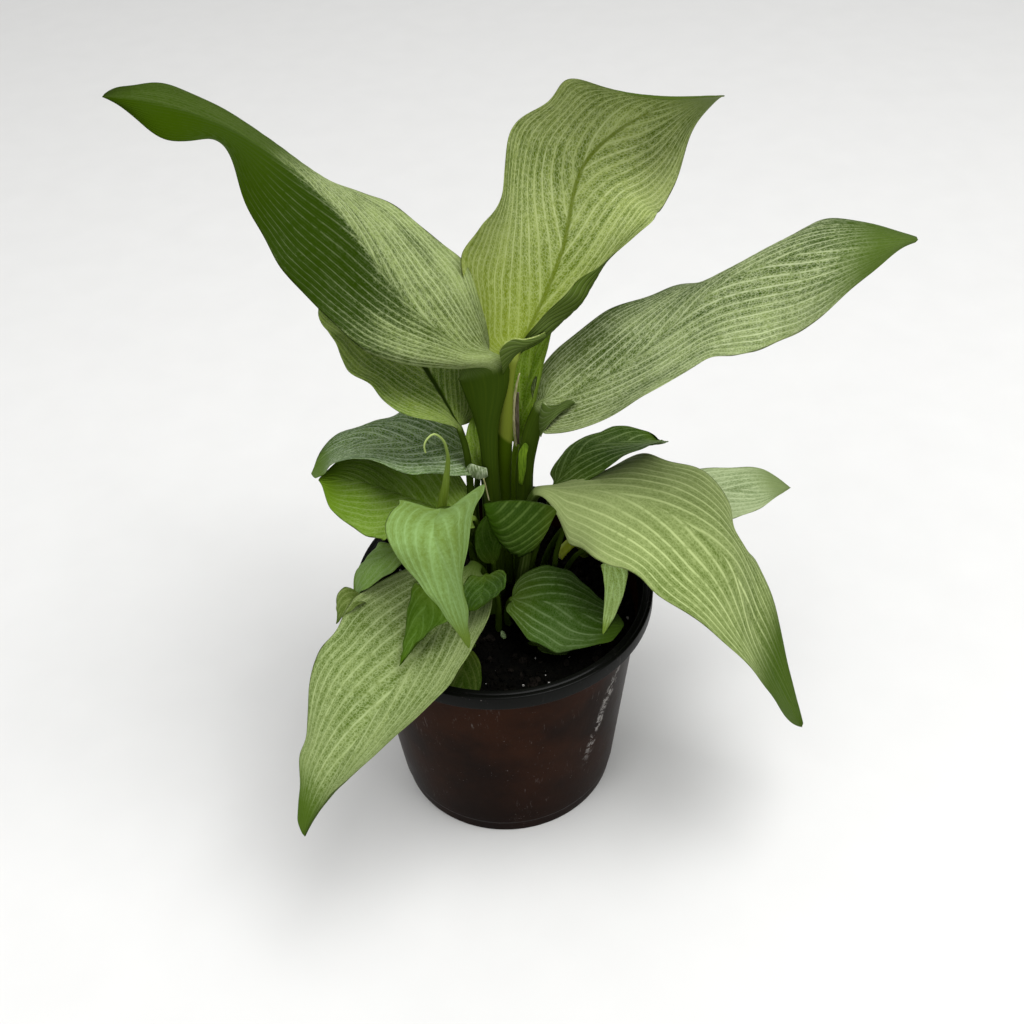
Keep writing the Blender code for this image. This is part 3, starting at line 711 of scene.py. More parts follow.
grow_leaf(
    "tall_left", "leaf_frosted_dark", "large", veins=12, sweep=1.1, seed=1, heading=178,
    half_widths=(28.5, 28), base=0.8, tip=1.0, flutter=0.5, rolls=[(-1, 0.12, 0.16, -3.0, 6.0)],
    rib=1.5, stalk=((3.0, 2.8, 3.4), (2.4, 2.4, 3.1), (2.6, 11.5, 5.2)),
    trim=((5.8, -1.2, -0.2, 0.5, 0.1, 1.2, 0.2, -0.5, 0.5, -1.3, 1.9, 1.3, 0.7, 3.3, 1.9, -1.5, -1.1),
          (11.1, -0.8, -0.3, 1.3, -1.1, -1.4, 2, -1.2, -2.8, -2.5, -8.2, -2.8, -1.7, -1.3, 1.4, -1.3, 1.3)),
    foot=[(-0.6, 8, FOOT), (-0.3, 8.5, 110), (0, 10.5, 145)],
    blade=[(2.5, 12, 168, 20, 80), (-20, 13, 190, -14, 40), (-39, 14, 223, -25, -10),
           (-69, 25, 245, 10, -10), (-96, 19, 256, -80, 40)],
    # painted shade darkens the left half of this blade
    look=dict(deep=(38, 58, 2), frost=(138, 154, 92), vein=(184, 196, 150), cover=0.58, painted_left_shade=0.8,
              tip=(46, 67, 0), tip_start=0.58, under=(54, 74, 5)))

grow_leaf(
    "tall_back", "leaf_frosted_light", "large", veins=12, sweep=0.95, seed=2, heading=80,
    half_widths=(31.5, 32.5), base=0.4, tip=0.65, flutter=0.5, ears=(16, 0),
    rolls=[(1, 0.12, 0.17, 2.2, 5.5)], rib=1.3,
    stalk=((2.9, 2.2, 2.2), (2.6, 1.8, 1.8), (1.9, 1.8, 1.2)),
    trim=((-4.4, -13, -7.9, 3.6, 1.5, 0.6, -1.4, -2.8, -1.4, 2.2, -4.4, 3.1, -2.4, -6.4, -2.7, -0.9, -0.3),
          (-10.4, -9.7, -9.7, -3.6, -6.9, -9.8, -2.3, 1.4,
           -1.1, -1.8, -1.6, -0.3, 1.4, -0.5, 0.6, -0.9, -0.7)),
    foot=[(3.2, 12, FOOT), (3.4, 12, 110), (5, 12.5, 138)],
    blade=[(8.6, 14.2, 168, 15, 40), (26, 38, 190, 48, 50), (36, 52, 215, 42, 16),
           (53, 52, 228, 28, -10), (73, 38, 238, 4, -7)],
    look=dict(deep=(74, 95, 8), frost=(152, 166, 92), vein=(204, 214, 162), cover=0.56, contrast=0.9,
              rib=(92, 108, 22), rib_share=0.8, rib_width=0.022, tip=(103, 119, 60), under=(58, 78, 6),
              # the yellow-green base is partly the blade's own colour and partly painted light shining
              # through it
              base=(122, 138, 12), base_share=0.6, base_end=0.45, stalk=(108, 120, 42), sheathed=1.0))

grow_leaf(
    "tall_right", "leaf_frosted_dark", "large", veins=11, sweep=1.4, seed=3, heading=12,
    half_widths=(26.5, 28.5), base=0.4, tip=0.55, flutter=0.5, ears=(13, 12), rib=1.5,
    stalk=((3.0, 3.2, 4.6), (2.4, 2.4, 3.6), (2.6, 3.4, 2.4)),
    trim=((-19, -8.2, -2.1, -1.3, -0.8, -0.7, -1.1, 2.6, -12.4, -15.1, -0.5, -1.2, 1.5, 2.4, 1.5, 1.4, 1.2),
          (-5.1, -7.6, -2.9, 0, 1.7, 3.3, 0.1, -2.1, 1, 1.8, 2.4, 1.1, 2.5, 3.1, 0.8, 1.7, -4)),
    foot=[(10.3, 8.5, FOOT), (11, 8.5, 110), (12.3, 9.5, 135)],
    blade=[(17, 11, 152, 16, -6), (47, 10, 170, 4, 17), (72, 12, 192, -36, 0), (97, 1, 208, -18, -13),
           (120, -8, 214, -26, 27)],
    # painted light makes the right half of this blade paler and the left half darker
    look=dict(deep=(46, 68, 4), frost=(132, 148, 90), vein=(206, 216, 174), cover=0.46, lit_right_half=0.15,
              contrast=0.9, tip=(64, 86, 18), under=(54, 74, 6)))

grow_leaf(
    "rolled_new", "leaf_plain_green", "middle", veins=4, sweep=0.9, seed=4, heading=75,
    half_widths=(9.5, 12), base=0.6, tip=1.0, flutter=0.2, rib=0.9,
    stalk=((3.4, 2.4, 2.4), (3.4, 2.2, 2.2), (1.8, 1.4, 1.2)),
    foot=[(6.3, 14, FOOT), (6.6, 14.5, 105)],
    blade=[(9.7, 19.5, 131, 60, 65), (13, 23, 150.5, 50, 68), (18, 27, 165.5, 40, 65),
           (24, 31, 177.5, 30, 50)],
    # painted light: these colours are made lighter, the underside's most, to brighten the leaf where it
    # stands in shade behind the tall leaves
    look=dict(deep=(112, 150, 10), frost=(178, 214, 66), vein=(216, 236, 136), cover=0.5,
              tip=(125, 155, 38), under=(98, 124, 32), stalk=(92, 120, 20)))


# ------------------------------------------------------------ folds and sheaths
# Where the two leaves on the right meet their stalks, the foot of the blade is folded over to the
# front; the sheaths round the crown end in pale papery edges and dried scraps.

def make_flap(name, upper, lower, bulge, material, slot, lip=0.06):
    """A thin flap between two curves in millimetres, bulging between them, 0.3 mm thick.

    Its front shows the blade's underside, and its upper edge a lip of the upper side.
    """
    share = np.linspace(0, 1, 48)
    top = at_fractions(smooth_path(upper, 200), share)
    bottom = at_fractions(smooth_path(lower, 200), share)
    across = np.linspace(0, 1, 13)[None, :, None]
    side = (bottom - top)[:, None] + 0 * across
    sheet = top[:, None] + side * across
    normal = np.cross(side, np.gradient(sheet, axis=0))
    normal /= np.linalg.norm(normal, axis=2, keepdims=True)
    sheet = sheet + normal * bulge * np.sin(np.pi * across)
    rings = np.concatenate([sheet + 0.15 * normal, (sheet - 0.15 * normal)[:, ::-1]], axis=1)
    rows, columns = rings.shape[:2]
    faces = grid_faces(rows, columns)
    faces.append(list(range(columns - 1, -1, -1)))
    faces.append([(rows - 1) * columns + k for k in range(columns)])
    down = np.concatenate([across[0, :, 0], across[0, ::-1, 0]])
    front = np.arange(columns) < columns // 2
    layer = np.zeros((rows, columns, 3))
    layer[..., 0] = 0.3 + 0.5 * down
    layer[..., 1] = 0.1 + 0.3 * share[:, None]
    layer[..., 2] = np.where(front & (down > lip), 1.0, 0.0)
    return make_piece(name, rings.reshape(-1, 3), faces, material, slot, blade=layer.reshape(-1, 3))


def dry_material(name, pale, dark):
    """Dry, papery tissue: streaked along, matt."""
    m = Material(name)
    place = m.place()
    streak = m.noise(m.stretched(place, 1.0, 1.0, 0.15), 1800.0, 3.0, 0.6)
    return m.finish(Base_Color=m.mix(streak.ramp(0.35, 0.7), dark, pale), Roughness=0.55 + streak * 0.2,
                    Normal=m.bump(streak, 0.0002, 0.6), Specular_IOR_Level=0.1)


make_flap(
    "back_leaf_fold",
    [(4.8, 8.5, 175.7), (6.4, 8.5, 178.4), (8.6, 9, 179.5), (12.8, 10.5, 178.1), (19, 13, 178.5)],
    [(5.6, 9, 166.9), (7.6, 9.5, 170.1), (9.9, 10, 172.9), (13.7, 11.5, 174.7), (19, 13, 176.7)],
    0.8, bpy.data.materials["tall_back"], "leaf_frosted_light")
make_flap(
    "right_leaf_fold",
    [(17.6, 9.5, 155.5), (20.2, 6.5, 155.9), (22.6, 5, 157.2), (25.1, 4.5, 158.9), (27.3, 2.5, 159.4)],
    [(16.3, 3, 146.4), (17.8, 0, 152.1), (20, 0.3, 154.8), (23.2, 1.5, 157), (27.6, 2.4, 158.7)],
    0.8, bpy.data.materials["tall_right"], "leaf_frosted_dark")
papery = dry_material("papery_edge", shade(206, 200, 158), shade(150, 150, 96))
make_flap(
    "sheath_edge",
    [(8.4, 14, 135), (8, 14, 141.5), (8.1, 14, 149.5), (9, 14, 157.2), (10.7, 14, 163.5)],
    [(9.1, 14, 134.9), (8.8, 14, 141.5), (8.9, 14, 149.4), (9.8, 14, 157.1), (11.1, 14, 163.4)],
    0.1, papery, "leaf_plain_green", lip=0)
make_flap(
    "sheath_line",
    [(9.1, 14.5, 135.4), (8.8, 14.5, 141.9), (8.9, 14.5, 149.1), (9.8, 14.5, 156)],
    [(9.9, 14.5, 135.3), (10.1, 14.5, 143), (10.2, 14.5, 149.7), (10.5, 14.5, 155.9)],
    0.1, dry_material("dry_brown", shade(118, 108, 92), shade(78, 70, 50)), "leaf_plain_green", lip=0)
make_flap(
    "sheath_scrap",
    [(-8, 7, 131.9), (-6.2, 6.5, 134.7), (-4, 6.5, 133.7), (-1.2, 6.5, 132.6)],
    [(-7.7, 6, 131.5), (-6.2, 6, 129.7), (-3.7, 6, 128.6), (-1, 6, 129.7)],
    0.5, dry_material("grey_scrap", shade(170, 182, 150), shade(96, 112, 72)), "leaf_plain_green", lip=0)
make_flap(
    "stem_edge",
    [(-1.4, 4.5, 120.8), (-2, 4.5, 125.1), (-2.7, 4.5, 129.8)],
    [(-1.0, 4.5, 120.7), (-1.6, 4.5, 125.4), (-2.3, 4.5, 130.1)],
    0.1, papery, "leaf_plain_green", lip=0)
make_flap(
    "leaf_tongue",
    [(9.0, 6, 136.3), (10.1, 6, 140.4), (11.5, 6, 142.1), (12.4, 6, 140.6)],
    [(8.8, 6, 126), (9.6, 6, 125), (10.6, 6, 128), (11.6, 6, 137.5)],
    0.5, dry_material("young_green", shade(108, 138, 32), shade(76, 104, 16)), "leaf_plain_green", lip=0)


# --------------------------------------------------------------- left leaves
# Leaves half way up on the left, held out level on thin stalks, one nodding forward over the
# pot, and one long leaf that hangs over the rim in front.

grow_leaf(
    "back_left", "leaf_frosted_dark", "large", veins=11, sweep=0.8, seed=5, heading=155,
    half_widths=(26, 26), base=0.65, tip=0.65, flutter=0.6, ears=(0, 8), **round_stalk(1.6, 1.2, 1.2),
    trim=((-0.6, -1, -0.8, -0.7, 1.7, 0.1, -3.1, 1.7, 0.4, 0.3, 1.6, 0.2, 0.7, 0.8, 0.4, 0.2, 0.2),
          (-2.2, 2.2, 2.8, 1.6, 0.9, 0.5, 0.2, 0.1, 0.1, 0, 0, 0, 0, 0, 0, 0, 0)),
    foot=[(-5, 9, FOOT), (-7, 8.5, 110)],
    blade=[(-9, 12, 145, 50, 11), (-17, 17, 162, 1, 10), (-29, 32, 176, 3, 8), (-46, 48, 182, -2, 6)],
    look=dict(deep=(68, 98, 2), frost=(147, 172, 70), vein=(176, 186, 141), cover=0.5, rib=(38, 56, 3),
              rib_share=1.0, rib_width=0.05, tip=(91, 117, 30)))

grow_leaf(
    "side_left_upper", "leaf_dark_striped", "middle", veins=7, sweep=0.9, seed=6, heading=172,
    half_widths=(21, 21), base=0.54, tip=0.95, flutter=0.5, **round_stalk(1.4, 1.1, 1.2),
    trim=((0.4, 0.5, 1.6, 2.2, 5.1, 2.3, 12.3, 13, 5.9, 4.9),
          (0, 0, -0.1, -0.1, -0.3, -2.9, -3.7, -3.4, -2.8, -1)),
    foot=[(-5, 15, FOOT), (-6, 19, 105)],
    blade=[(-5.5, 22, 127, 20, 0), (-25, 18, 136, 16, -6), (-43, 19, 137.5, 23, -10),
           (-59, 15, 128, -5, 40)],
    look=dict(deep=(53, 84, 13), frost=(123, 151, 81), vein=(211, 225, 201), cover=0.45,
              tip=(90, 117, 38)))

grow_leaf(
    "side_left_lower", "leaf_frosted_dark", "middle", veins=8, sweep=0.8, seed=7, heading=185,
    half_widths=(20, 19), base=0.65, tip=0.86, flutter=0.5, **round_stalk(1.4, 1.1, 1.2),
    trim=((-0.1, -0.1, -0.2, -0.4, 0.1, 0.7, 3, 2.4, 2.5, -1.5),
          (0,)),
    foot=[(-7, 7, FOOT), (-7.5, 5, 100)],
    blade=[(-6.5, 3.5, 114, 17, 36), (-18, 2, 121, 17, 36), (-31, 6, 125, -12, 28),
           (-43, 6, 131, -21, 20), (-56, 9, 130, -15, 11)],
    look=dict(deep=(92, 124, 18), frost=(122, 150, 62), vein=(140, 160, 98), cover=0.45,
              tip=(105, 138, 27)))

grow_leaf(
    "nodding_front", "leaf_plain_green", "middle", veins=4.5, sweep=1.4, seed=8, heading=-100,
    half_widths=(17.5, 14.5), base=0.36, tip=1.3, flutter=0.4, rib=0.8,
    stalk=((1.6, 1.5, 1.5), (1.2, 1.2, 1.2), (1.8, 1.2, 0.8)),
    trim=((-0.3, 1.8, 1, 1.1, 1.6, -1, 0.3, 0.9, 0.6, 0.5),
          (5.4, -1.9, 0.4, -0.8, -0.2, -0.7, -1, 0.1, 0.4, 0.3)),
    foot=[(-7.5, 4, FOOT), (-9, 3, 108)],
    blade=[(-16, -16, 135, 36, 26), (-18, -31, 139, 40, -8), (-14, -43, 125, 54, -14),
           (-10, -49, 108, 15, -8)],
    look=dict(deep=(104, 128, 56), frost=(129, 160, 95), vein=(146, 176, 116), cover=0.5, mesh=0.3,
              strength=0.4, rib_share=0, tip=(106, 129, 47), under=(80, 104, 30)))

grow_leaf(
    "drooping_left", "leaf_frosted_light", "large", veins=8, sweep=1.4, seed=9, heading=-135,
    half_widths=(23.5, 26), base=0.57, tip=0.9, flutter=0.6, rib=1.4,
    stalk=((2.4, 2.0, 2.0), (1.9, 1.8, 1.8), (2.4, 2.0, 1.2)),
    trim=((-0.4, -0.7, -1, -0.3, 0.4, -1.5, -3.2, 0.3, -0.8, -0.6, -0.6, -0.9, 1.3, -4, -8.4, -4.7, -3.1),
          (-0.4, -0.6, 0.5, 0.2, 0.8, 1.8, 0.8, -0.7, 1.4, 1.2, 0.7, -0.9, -0.9, 2.3, -1.1, 0.5, 2.7)),
    foot=[(-3, -2, FOOT), (-4, -3, 90)],
    blade=[(-7, -6, 102, 20, 10), (-22, -31, 96, 26, 26), (-38, -53, 90, 28, 21), (-53, -67, 77, 46, 0),
           (-65, -76, 57, 64, 14)],
    look=dict(deep=(76, 97, 30), frost=(133, 149, 90), vein=(178, 194, 140), cover=0.58, contrast=1.0,
              rib_share=0, tip=(66, 92, 14), under=(60, 80, 14), base=(66, 88, 24), base_share=0.9,
              base_end=0.16))


# -------------------------------------------------------------- right leaves
# One large leaf arches over the rim on the right; behind it two narrow ones lean back over the
# rim, and a broad dark one lies on the pot in front, with a small strap leaf standing beside it.

grow_leaf(
    "arching_right", "leaf_frosted_light", "large", veins=8, sweep=1.4, seed=10, heading=-25,
    half_widths=(29, 28.5), base=0.62, tip=0.9, flutter=0.6, rib=1.4,
    stalk=((2.8, 2.2, 2.2), (2.0, 1.8, 1.8), (2.6, 2.0, 1.4)),
    trim=((0.2, 0.8, -2.5, 13, 2.2, 8.3, 5.4, 2.8, -4.7, -6.4, 2.2, 2.6, 1.5, 1.6, -0.2, 1.1, 1.7),
          (13, 3.8, -0.1, 1, 0.7, -0.3, -0.5, 1.7, 1.2, -0.4, -1.2, -0.8, -2, -1.6, 0.9, 1.4, 0.5)),
    foot=[(6, 1.5, FOOT), (10, 2.5, 97)],
    blade=[(14.5, 3.5, 124, -39, -69), (51, -8, 125, -12, -9), (71, -24, 116, -19, -8),
           (82, -33, 88, -3, 15), (98, -44, 54, -8, 3)],
    look=dict(deep=(76, 97, 28), frost=(128, 144, 84), vein=(190, 205, 142), cover=0.6,
              # painted light: the pale base colour brightens the blade towards its stalk, and the tip colour,
              # partly its own darker green, starts early to paint shade on the hanging end
              base=(180, 196, 128), base_share=0.5, base_end=0.55, line=0.2, strength=0.85, mesh=0.45,
              rib_share=0, tip_start=0.71, tip=(54, 78, 4), under=(66, 84, 14)))

grow_leaf(
    "back_right", "leaf_dark_striped", "middle", veins=4.5, sweep=0.9, seed=11, heading=30,
    half_widths=(13.5, 13.5), base=0.6, tip=0.87, flutter=0.4, rib=0.7,
    stalk=((1.5, 1.5, 1.5), (1.1, 1.1, 1.1), (1.2, 1, 0.7)),
    trim=((2.9, -1.6, -4.6, -4.7, -6.7, -3.3, -1, -2.1, -2.1, -3.9),
          (12.6, 3.6, 5.4, 4.7, 7.2, 8.4, 4, 2, 1.1, 0.7)),
    foot=[(7.5, 4.5, FOOT), (13.5, 5.6, 97), (17.8, 9.2, 109)],
    blade=[(21, 12, 118.5, -22, 2), (32, 23, 124.5, -20, 20), (48, 32, 120, 1, 28),
           (61, 44, 110, 45, 21)],
    look=dict(deep=(49, 79, 8), frost=(94, 120, 50), vein=(164, 188, 124), cover=0.42, mesh=0.4,
              tip=(72, 100, 21)))

grow_leaf(
    "far_right", "leaf_frosted_light", "middle", veins=6, sweep=0.9, seed=12, heading=22,
    half_widths=(15, 15), base=0.66, tip=0.83, flutter=0.4, **round_stalk(1.3, 1, 1.1),
    trim=((0, 0, 0, 0, 0, 0.1, 0.4, 0.2, 1.1, -0.6),
          (0, 0, 0, 0.1, 0.1, 0.2, -0.2, 0.5, -0.8, 0.4)),
    foot=[(16, 16, FOOT), (24, 17, 95)],
    blade=[(37, 20, 104, -12, 0), (61, 30, 97, -10, -9), (86, 38, 90, 5, -10), (111, 45, 83, 47, 14)],
    look=dict(deep=(107, 126, 76), frost=(167, 182, 134), vein=(200, 216, 170), cover=0.62,
              tip=(118, 135, 83), under=(66, 84, 14)))

grow_leaf(
    "round_right", "leaf_dark_striped", "middle", veins=5, sweep=1.8, seed=13, heading=-15,
    half_widths=(15, 16.5), base=0.48, tip=0.83, flutter=0.4, ears=(3, 4), **round_stalk(1.3, 1, 1.1),
    trim=((-10.2, -2.6, -0.4, -0.8, 0.1, -1.3, -1.2, 0, -0.7, 0.2),
          (-4.2, -3.8, 0.3, -0.2, 0.2, 1.8, 0.2, 0.9, 2.7, 4.6)),
    foot=[(3, -8, FOOT), (2.5, -9, 83)],
    blade=[(4, -10, 89, 27, 10), (18, -14, 90, 10, -16), (30, -19, 87.5, -8, -20),
           (40, -25.5, 88.8, -18, -7)],
    look=dict(deep=(48, 76, 12), frost=(78, 102, 50), vein=(124, 146, 98), cover=0.4, line=0.2,
              strength=0.6, mesh=0.4, rib_share=0, tip=(60, 85, 20), under=(48, 68, 10)))

grow_leaf(
    "narrow_right", "leaf_plain_green", "small", veins=2.5, sweep=1.0, seed=14, heading=-85,
    half_widths=(4.3, 3.6), base=0.4, tip=1.05, flutter=0.15, pleat=0.1, **round_stalk(1, 0.8, 0.9),
    trim=((0.5, 0.7, -0.2, -0.6, -0.2, 0.1),
          (1.4, -0.2, -0.6, 0, 0.4, 0.4)),
    foot=[(22, 10, FOOT), (30, 2, 98)],
    blade=[(37, -12, 107, 4, -11), (37, -19, 95, -3, -4), (33, -27, 87, -8, 2)],
    look=dict(deep=(123, 154, 40), frost=(181, 211, 119), vein=(225, 255, 186), cover=0.6,
              tip=(135, 166, 60), under=(80, 104, 30)))


# -------------------------------------------------------------- small leaves
# Young leaves low in the crown: small dark ones with silvery stripes and a few plain green
# ones, on thin stalks.

grow_leaf(
    "small_left", "leaf_dark_striped", "small", veins=3, sweep=0.9, seed=15, heading=190,
    half_widths=(9.6, 9.9), base=0.58, tip=1.0, flutter=0.25, pleat=0.12, **round_stalk(1.2, 0.9, 0.9),
    trim=((1.6, 0.7, -0.1, 0.1, -0.2, -0.5),
          (-1.8, 0.8, -0.3, -1.4, 1.7, -1.6)),
    foot=[(-13, 9, FOOT), (-20, 5, 105)],
    blade=[(-31, -8, 113, 3, -1), (-42, -12, 109, 4, -17), (-47, -12, 98, 3, 15)],
    look=dict(deep=(89, 120, 35), frost=(107, 134, 72), vein=(123, 147, 94), cover=0.5,
              tip=(86, 111, 40)))

grow_leaf(
    "small_front", "leaf_plain_green", "small", veins=3, sweep=0.9, seed=16, heading=-110,
    half_widths=(9.4, 8.7), base=0.4, tip=1.16, flutter=0.3, pleat=0.12, **round_stalk(1.2, 0.9, 0.9),
    trim=((0.8, 1.2, -2.1, -2.2, -0.6, -2.1),
          (0.7, 0.2, -0.3, 0.3, -0.8, -0.2)),
    foot=[(-6.5, -0.5, FOOT), (-8.5, -0.5, 106), (-13, -13, 118)],
    blade=[(-21, -29, 115, 0, -30), (-26, -35, 103, 38, -36), (-32, -46, 99, 50, -32)],
    look=dict(deep=(60, 90, 12), frost=(86, 116, 40), vein=(112, 144, 78), cover=0.5, mesh=0.15,
              strength=0.3, rib_share=0, tip=(62, 91, 8)))

grow_leaf(
    "round_front", "leaf_dark_striped", "small", veins=3, sweep=1.0, seed=17, heading=-80,
    half_widths=(6.0, 6.0), base=0.5, tip=0.42, flutter=0.15, pleat=0.1, **round_stalk(0.9, 0.7, 0.7),
    foot=[(-9, -17, FOOT)],
    blade=[(-12.5, -24, 82, 5, -1), (-13, -33, 80, 3, -1), (-14.5, -44, 76.5, 0, 0)],
    look=dict(deep=(36, 58, 2), frost=(67, 83, 23), vein=(85, 96, 52), cover=0.45, tip=(50, 68, 9),
              under=(40, 56, 10)))

grow_leaf(
    "cupped_front", "leaf_dark_striped", "small", veins=3.5, sweep=1.0, seed=18, heading=-60,
    half_widths=(9, 6.8), base=0.4, tip=0.6, flutter=0.25, pleat=0.12, **round_stalk(1.2, 0.9, 0.9),
    foot=[(-1, -11, FOOT), (-1, -13, 95)],
    blade=[(-4, -19, 109, 38, 28), (-5, -27, 110, 24, 0), (-8, -37, 112, 20, -18)],
    look=dict(deep=(40, 67, 4), frost=(69, 96, 29), vein=(94, 119, 72), cover=0.45, tip=(54, 80, 12),
              under=(48, 68, 10)))

grow_leaf(
    "folded_centre", "leaf_dark_striped", "small", veins=3, sweep=1.0, seed=19, heading=110,
    half_widths=(6.8, 3), base=0.57, tip=0.6, flutter=0.15, pleat=0.1, **round_stalk(1, 0.8, 0.8),
    foot=[(0, -1, FOOT), (-0.5, -1.5, 88)],
    blade=[(-1, -1.2, 97.5, 12, 38), (-0.5, 0.5, 107.5, -2, 31), (3, 3, 118, -14, 21)],
    look=dict(deep=(41, 70, 2), frost=(60, 87, 20), vein=(80, 102, 46), cover=0.45, tip=(51, 77, 10),
              under=(40, 58, 10)))

grow_leaf(
    "dark_centre", "leaf_dark_striped", "small", veins=6, sweep=1.0, seed=20, heading=180,
    half_widths=(18, 8), base=0.3, tip=0.35, flutter=0.3, pleat=0.12, **round_stalk(1.2, 0.9, 0.9),
    foot=[(18, 4, FOOT), (20, 2.5, 95)],
    blade=[(21, -2, 120.5, -56, -60), (9.3, -4, 126.5, -58, -62), (-3, -5, 127, -58, -60)],
    look=dict(deep=(36, 58, 8), frost=(50, 72, 18), vein=(92, 114, 56), cover=0.4, mesh=0.2, line=0.25,
              strength=0.6, tip=(39, 63, 6), under=(48, 68, 10)))

grow_leaf(
    "small_upright", "leaf_plain_green", "small", veins=2.5, sweep=1.0, seed=21, heading=100,
    half_widths=(4.8, 4.6), base=0.3, tip=0.8, flutter=0.1, pleat=0.08, **round_stalk(0.9, 0.7, 0.7),
    foot=[(-3, 10, FOOT), (-3, 12, 105)],
    blade=[(-2.9, 12, 125.5, 31, 22), (-4.4, 12.5, 138.8, 17, 25), (-3.5, 13, 150.3, 7, 28)],
    look=dict(deep=(98, 132, 14), frost=(140, 168, 52), vein=(170, 192, 122), cover=0.5,
              tip=(72, 96, 13), under=(60, 80, 14)))

grow_leaf(
    "sliver_left", "leaf_plain_green", "small", veins=2.5, sweep=1.0, seed=22, heading=200,
    half_widths=(4.9, 4.9), base=0.58, tip=1.03, flutter=0.15, pleat=0.1, **round_stalk(0.9, 0.7, 0.7),
    foot=[(-14, -6, FOOT), (-34, -9, 90)],
    blade=[(-45, -17, 103, 2, 11), (-48, -23, 105, 10, 2), (-52, -28, 101, 15, -6)],
    look=dict(deep=(65, 85, 18), frost=(104, 121, 59), vein=(130, 143, 89), cover=0.5, tip=(76, 94, 29)))

grow_leaf(
    "under_round", "leaf_dark_striped", "small", veins=2, sweep=1.0, seed=23, heading=-25,
    half_widths=(2.6, 2.6), base=0.5, tip=0.7, flutter=0.1, pleat=0.05, **round_stalk(0.8, 0.6, 0.6),
    foot=[(8, -17, FOOT)],
    blade=[(12, -20, 76.8, 5, 5), (17, -23, 77.2, 5, 5), (23, -23, 76, 5, 5)],
    look=dict(deep=(40, 60, 8), frost=(64, 84, 34), vein=(84, 104, 54), cover=0.45, tip=(46, 66, 14),
              under=(44, 62, 10)))


# ------------------------------------------------------- young shoot and stump
# A thin new shoot, bright green and hooked over at its tip, and the stump of a stalk that was
# cut off, tan and dry across the cut.

def tube_rings(line, radii, segments, count):
    """Rings of a tube along a smooth line, its radius going through radii at even steps."""
    path = at_fractions(smooth_path(np.column_stack([line, np.zeros((len(line), 2))]), 400),
                        np.linspace(0, 1, count))[:, :3]
    forward = np.gradient(path, axis=0)
    forward /= np.linalg.norm(forward, axis=1, keepdims=True)
    level = np.array([0.0, 1.0, 0.0])
    across, upward = directions_across(forward, level)
    turn = np.linspace(0, 2 * np.pi, segments, endpoint=False)[None, :, None]
    radius = np.interp(np.linspace(0, 1, count), np.linspace(0, 1, len(radii)), radii)[:, None, None]
    rings = path[:, None] + radius * (np.cos(turn) * across[:, None] + np.sin(turn) * upward[:, None])
    return rings, path, forward


def make_tube(name, line, radii, material, slot, segments=24, count=80, dome=0.8, hollow=0.0):
    """A closed tube: a domed far end raised by dome radii, or dished by hollow where it was cut."""
    rings, path, forward = tube_rings(line, radii, segments, count)
    end = rings[-1] - path[-1]
    cap = []
    for share in np.linspace(0, 1, 7)[1:-1]:
        angle = share * np.pi / 2
        height = dome * np.sin(angle) if dome else -hollow * share
        size = np.cos(angle) if dome else 1 - share
        cap.append(path[-1] + end * size + forward[-1] * radii[-1] * height)
    rings = np.concatenate([rings, np.array(cap)])
    rows = len(rings)
    where = np.concatenate([np.linspace(0, 1, count), np.linspace(1.02, 1.1, len(cap))])
    layer = np.zeros((rows, segments, 3))
    layer[..., 1] = where[:, None]
    points = np.concatenate([rings.reshape(-1, 3),
                             [path[-1] + forward[-1] * radii[-1] * (dome or -hollow)]])
    values = np.concatenate([layer.reshape(-1, 3), [(0, 1.12, 0)]])
    faces = [(d, c, b, a) for a, b, c, d in grid_faces(rows, segments)]
    faces += fan_faces((rows - 1) * segments, segments, len(points) - 1, flipped=True)
    faces.append(list(range(segments)))
    return make_piece(name, points, faces, material, slot, along=values)


def stalk_material(name, foot, middle, tip, cut=None):
    """Smooth green stalk, paler to its tip and finely ribbed along, with a dry tan cut."""
    m = Material(name)
    t = m.node("ShaderNodeAttribute", {"attribute_name": "along"}, {}, output="Vector")[1]
    place = m.place()
    streak = m.noise(m.stretched(place, 1.0, 1.0, 0.08), 1400.0, 3.0)
    colour = m.mix(t.ramp(0.0, 0.6), foot, middle)
    colour = m.mix(t.ramp(0.75, 1.0), colour, tip)
    colour = m.mix(streak.ramp(0.5, 0.7) * 0.25, colour, (0.30, 0.42, 0.10))
    if cut:
        pith = m.noise(place, 1800.0, 3.0)
        face = m.mix(pith.ramp(0.35, 0.7), cut, (0.62, 0.55, 0.40))
        colour = m.mix(t.ramp(1.0, 1.015), colour, face)
    return m.finish(Base_Color=colour, Roughness=0.40 + streak * 0.15,
                    Normal=m.bump(streak, 0.0002, 0.5), Specular_IOR_Level=0.42)


shoot = make_tube(
    "hooked_shoot",
    [(-13, -2, FOOT), (-15.5, -2, 100), (-16.4, -2, 124), (-14.2, -3, 136.5), (-13, -4, 148.5),
     (-14.4, -5, 154.6), (-16.7, -6, 157), (-18.6, -7, 156), (-19.4, -7, 151)],
    (1.7, 1.7, 1.7, 1.7, 1.7, 1.6, 1.5, 1.0, 0.5, 0.35, 0.25),
    stalk_material("stalk_green", shade(60, 86, 12), shade(98, 120, 28), shade(168, 186, 110)), "stalk_green")
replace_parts(shoot, "sprout_hooked")

# painted light: the stump's greens are made brighter to light it where it stands in shade behind the arching
# leaf
stump = make_tube(
    "cut_stump", [(32, 24, 76.2), (29.5, 19, 86), (26, 13, 91.5), (21.2, 8.3, 89.8)], (2.0, 1.8),
    stalk_material("stalk_yellow_green", shade(104, 124, 10), shade(170, 186, 24), shade(176, 186, 50),
                   cut=shade(226, 212, 176)),
    "stalk_yellow_green", dome=0, hollow=0.25)
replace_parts(stump, "stalk_stub")


# --------------------------------------------------------------- plant food
# One oval grain of slow-release plant food, pale green and waxy, lying on the soil.

